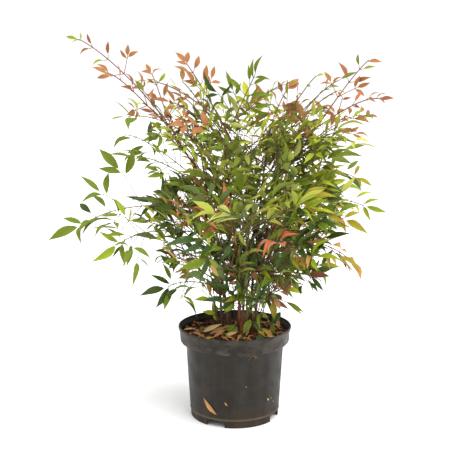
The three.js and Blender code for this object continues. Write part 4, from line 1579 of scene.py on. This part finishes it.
def makeBlade(name, shape):
    points, faces, undersides, rows = [], [], [], []
    lift, droop, fold, twist, bend = shape
    slope = math.tan(math.radians(fold))
    thick = blade["thick"] / 2
    widest = blade["usualWidth"] / 2
    bluntPower = math.log(0.5) / math.log(blade["broadest"])
    for station in blade["stations"]:
        height = lift * math.sin(math.pi * station) - droop * station ** 2
        centre = Vector((bend * station ** 2, station, height))
        power = lerp(blade["baseBlunt"], blade["tipSharp"], station)
        half = widest * math.sin(math.pi * station ** bluntPower) ** power if 0 < station < 1 else 0
        if half < tiny:
            rows.append([len(points)] * 4)
            points.append(centre)
            continue
        rows.append([len(points) + i for i in range(4)])
        turn = Matrix.Rotation(math.radians(twist * station), 3, "Y")
        for across, rise in ((-half, half * slope), (0, thick), (half, half * slope), (0, -thick)):
            points.append(centre + turn @ Vector((across, 0, rise)))
    for back, ahead in zip(rows, rows[1:]):
        for i in range(4):
            j = (i + 1) % 4
            faces.append(list(dict.fromkeys((back[i], back[j], ahead[j], ahead[i]))))
            undersides.append(i > 1)
    for point in points:
        point.x /= blade["usualWidth"]
    piece = newPiece(name, points, faces)
    piece.data.transform(Matrix.Scale(1 / mm, 4))
    attribute = piece.data.attributes.new("underside", "BOOLEAN", "FACE")
    attribute.data.foreach_set("value", undersides)
    smoothen(piece, blade["sharpAngle"])
    return piece


def leafTree():
    sockets = {"Blades": "Collection", "Upper": "Material", "Under": "Material"}
    tree, inputs = newTree("leaves on points", sockets)
    turn = made(tree, "FunctionNodeAxesToRotation", {
        "Primary Axis": named(tree, "along", "FLOAT_VECTOR"),
        "Secondary Axis": named(tree, "face", "FLOAT_VECTOR"),
    }, primary_axis="Y", secondary_axis="Z")
    placed = placeShapes(tree, inputs["Blades"], {
        "Points": inputs["Geometry"], "Instance Index": named(tree, "shape", "INT"), "Rotation": turn,
        "Scale": named(tree, "size", "FLOAT_VECTOR"),
    })
    real = made(tree, "GeometryNodeRealizeInstances", {"Geometry": placed})
    painted = paint(tree, real, inputs["Upper"])
    painted = paint(tree, painted, inputs["Under"], named(tree, "underside", "BOOLEAN"))
    addNode(tree, "NodeGroupOutput", {0: painted})
    return tree


def leafMaterial(tint, side, colour):
    look = leafFinish
    inputs = {"Base Color": toLinear(colour), **look["shine"]}
    material, tree, shader = newMaterial(f"leaves_{tint}_{side}", inputs)
    spread = [look["roughness"][side] + part for part in look["rougher"]]
    tree.links.new(patchesOf(tree, {**look["spots"], "to": spread}), shader.inputs["Roughness"])
    addBump(tree, shader, grainOf(tree, look["veins"]), look["relief"])
    return material


def makeLeaves(nodesByTint):
    tree = leafTree()
    blades = [makeBlade(f"blade_{i}", shape) for i, shape in enumerate(blade["shapes"])]
    shapes = gatherShapes("blades", blades)
    for tint, places in leaves.items():
        starts, alongs, facings, lengths, ratios, kinds = zip(*places)
        piece = newPiece(f"leaves_{tint}", starts)
        lengths = np.array(lengths) * mm
        sizes = np.column_stack([lengths * np.array(ratios), lengths, lengths])
        storeOn(piece, "along", "FLOAT_VECTOR", alongs)
        storeOn(piece, "face", "FLOAT_VECTOR", facings)
        storeOn(piece, "size", "FLOAT_VECTOR", sizes)
        storeOn(piece, "shape", "INT", kinds)
        slot, upper, under = tints[tint]
        runTree(piece, tree, {
            "Blades": shapes, "Upper": leafMaterial(tint, "upper", upper),
            "Under": leafMaterial(tint, "under", under),
        })
        finishPiece(piece, slot, nodesByTint.get(tint, []))
    dropShapes(shapes)


leafBox = [np.array(corner) / mm for corner in cadBox]
plans = [*outerPlans(), *domePlans(innerSprays, "spray_inner"), *domePlans(fillSprays, "fill")]
sprays = []
for plan in [*plans, *shoots["plans"]]:
    spray = growShoot(plan) if "foot" in plan else growStalk(plan, sprays)
    if not spray:
        print(plan["name"], "left out")
        continue
    spray["reach"] = lengthOf(spray["path"])
    sprays.append(spray)
    addPath(spray["name"], spray["path"], spray["radii"])
hearts = np.array([spray["heart"] for spray in sprays])
for index, spray in enumerate(sprays):
    growSpray({**spray, "index": index})
addSingleLeaves()
print(f"{len(sprays)} sprays, {sum(map(len, leaves.values()))} leaflets")

nearestTint = {"green": "fresh", "deep": "dark"}
nodesByTint = {}
for spray in sprays:
    if spray["name"] in frame["nodes"]:
        tint = nearestTint.get(spray["tint"], spray["tint"])
        nodesByTint.setdefault(tint, []).append(spray["name"])
makeLeaves(nodesByTint)


# Round stems along lines of points. The canes and boughs have joints and ridges, and sway a little.

caneRelief = {
    "step": 2.2,
    "jointEvery": 36,
    "jointVaries": 0.3,
    "jointSwell": 0.24,
    "jointWidth": 2.6,
    "zigzag": 0.7,
    "sides": 18,
    "boughSides": 14,
    "ridges": 0.5,
    "buried": 8,
    "buriedSwell": 1.05,
    "swayGrows": 4,  # so that it is whole a quarter of the length from each end
    "seed": 77,
}
stemSides = {"stalks": 8, "twigs": 5}
skins = {  # the colour low down, the colour high up and that of the cracks
    "straw": ((150, 116, 80), (150, 116, 80), (104, 78, 50)),
    "olive": ((96, 82, 50), (112, 100, 56), (64, 52, 32)),
    "tan": ((140, 98, 60), (112, 70, 44), (86, 56, 34)),
    "brown": ((92, 60, 36), (104, 52, 34), (48, 30, 19)),
    "rust": ((156, 88, 50), (128, 54, 38), (96, 50, 28)),
    "green": ((84, 92, 42), (104, 116, 48), (60, 58, 32)),
    "crimson": ((112, 50, 34), (128, 66, 44), (80, 38, 28)),
}
barkFinish = {
    "shine": {"Roughness": 0.62, "Specular IOR Level": 0.35},
    "lowToHigh": (32, 292),  # over the soil's level
    "fibres": {"stretch": (1, 1, 0.12), "scale": 620, "detail": 5, "roughness": 0.7},
    "cracks": {"between": (0.38, 0.62), "to": (0.75, 0)},
    "patches": {"stretch": (1, 1, 0.5), "scale": 60, "detail": 4, "between": (0.56, 0.7), "to": (0, 0.5)},
    "patchColour": {"times": 1.35, "plus": 14},
    "relief": {"strength": 0.6, "depth": 0.8},
    "ridges": {"stretch": (1, 1, 0.14), "scale": 520, "detail": 2},
    "sharpAngle": 60,
}


def slotOf(skin):
    return "shoot_bark" if skin == "crimson" else "cane_bark"


def barkMaterial(skin):
    look = barkFinish
    low, high, dark = skins[skin]
    material, tree, shader = newMaterial("skin_" + skin, look["shine"])
    base = blendOf(tree, heightRange(tree, soil["level"], look["lowToHigh"]), low, high)
    fibres = grainOf(tree, look["fibres"])
    cracks = rangeOf(tree, fibres, look["cracks"]["between"], look["cracks"]["to"])
    cracked = blendOf(tree, cracks, base, dark)
    lighter = look["patchColour"]
    patch = [min(part * lighter["times"] + lighter["plus"], 255) for part in low]
    patched = blendOf(tree, patchesOf(tree, look["patches"]), cracked, patch)
    tree.links.new(patched, shader.inputs["Base Color"])
    addBump(tree, shader, fibres, look["relief"])
    return material


def tubeTree():
    tree, inputs = newTree("tubes on lines", {"Sides": "Int", "Relief": "Float", "Material": "Material"})
    line = made(tree, "GeometryNodeMeshToCurve", {"Mesh": inputs["Geometry"]})
    circle = {"Resolution": inputs["Sides"], "Radius": 1}
    ring = made(tree, "GeometryNodeCurvePrimitiveCircle", circle)
    tube = made(tree, "GeometryNodeCurveToMesh", {
        "Curve": line, "Profile Curve": ring, "Scale": named(tree, "thick", "FLOAT"), "Fill Caps": True,
    })
    look = barkFinish["ridges"]
    point = {0: made(tree, "GeometryNodeInputPosition"), 1: look["stretch"]}
    ridges = made(tree, "ShaderNodeTexNoise", {
        "Vector": made(tree, "ShaderNodeVectorMath", point, operation="MULTIPLY"),
        "Scale": look["scale"], "Detail": look["detail"],
    })
    depth = mathOf(tree, "MULTIPLY", mathOf(tree, "SUBTRACT", ridges, 0.5), inputs["Relief"])
    push = {0: made(tree, "GeometryNodeInputNormal"), "Scale": depth}
    offset = made(tree, "ShaderNodeVectorMath", push, operation="SCALE")
    moved = made(tree, "GeometryNodeSetPosition", {"Geometry": tube, "Offset": offset})
    endTree(tree, moved, inputs["Material"])
    return tree


def makeTubes(name, lines, skin, sides, relief=0, nodes=()):
    points, edges, thick = [], [], []
    for path, radii in lines:
        first = len(points)
        points += path
        thick += [radius * mm for radius in radii]
        edges += [(first + i, first + i + 1) for i in range(len(path) - 1)]
    piece = newPiece(name, points, edges=edges)
    storeOn(piece, "thick", "FLOAT", thick)
    runTree(piece, tubes, {"Sides": sides, "Relief": relief * mm, "Material": skinMaterials[skin]})
    smoothen(piece, barkFinish["sharpAngle"])
    finishPiece(piece, slotOf(skin), nodes)


def caneLine(limb, index):
    look = caneRelief
    draw = random.Random(look["seed"] + index)
    length = lengthOf(limb["path"])
    joints = [0]
    while joints[-1] < length:
        step = look["jointEvery"] * (1 + look["jointVaries"] * draw.uniform(-1, 1))
        joints.append(joints[-1] + step)
    asides = [headed(draw.uniform(0, 360)) * look["zigzag"] * draw.random() for _ in joints]
    count = int(length / look["step"])
    points, radii = [], []
    if not limb["parent"]:
        points.append(limb["curve"][0] - up * look["buried"])
        radii.append(limb["radiusAt"](0) * look["buriedSwell"])
    for i in range(count + 1):
        share = i / count
        distance = share * length
        aside = Vector([np.interp(distance, joints, [a[axis] for a in asides]) for axis in range(3)])
        swell = sum(math.exp(-((distance - joint) / look["jointWidth"]) ** 2) for joint in joints[1:])
        sway = min(1, look["swayGrows"] * share, look["swayGrows"] * (1 - share))
        points.append(pointOn(limb["curve"], share)[0] + aside * sway)
        radii.append(limb["radiusAt"](share) * (1 + look["jointSwell"] * swell))
    return points, radii


tubes = tubeTree()
skinMaterials = {skin: barkMaterial(skin) for skin in skins}
for index, (name, limb) in enumerate(limbs.items()):
    sides = caneRelief["boughSides" if limb["parent"] else "sides"]
    makeTubes(name + "_bark", [caneLine(limb, index)], limb["skin"], sides, caneRelief["ridges"], [name])
for (kind, skin), lines in stems.items():
    makeTubes(f"{kind}_{skin}", lines, skin, stemSides[kind])

print("done")
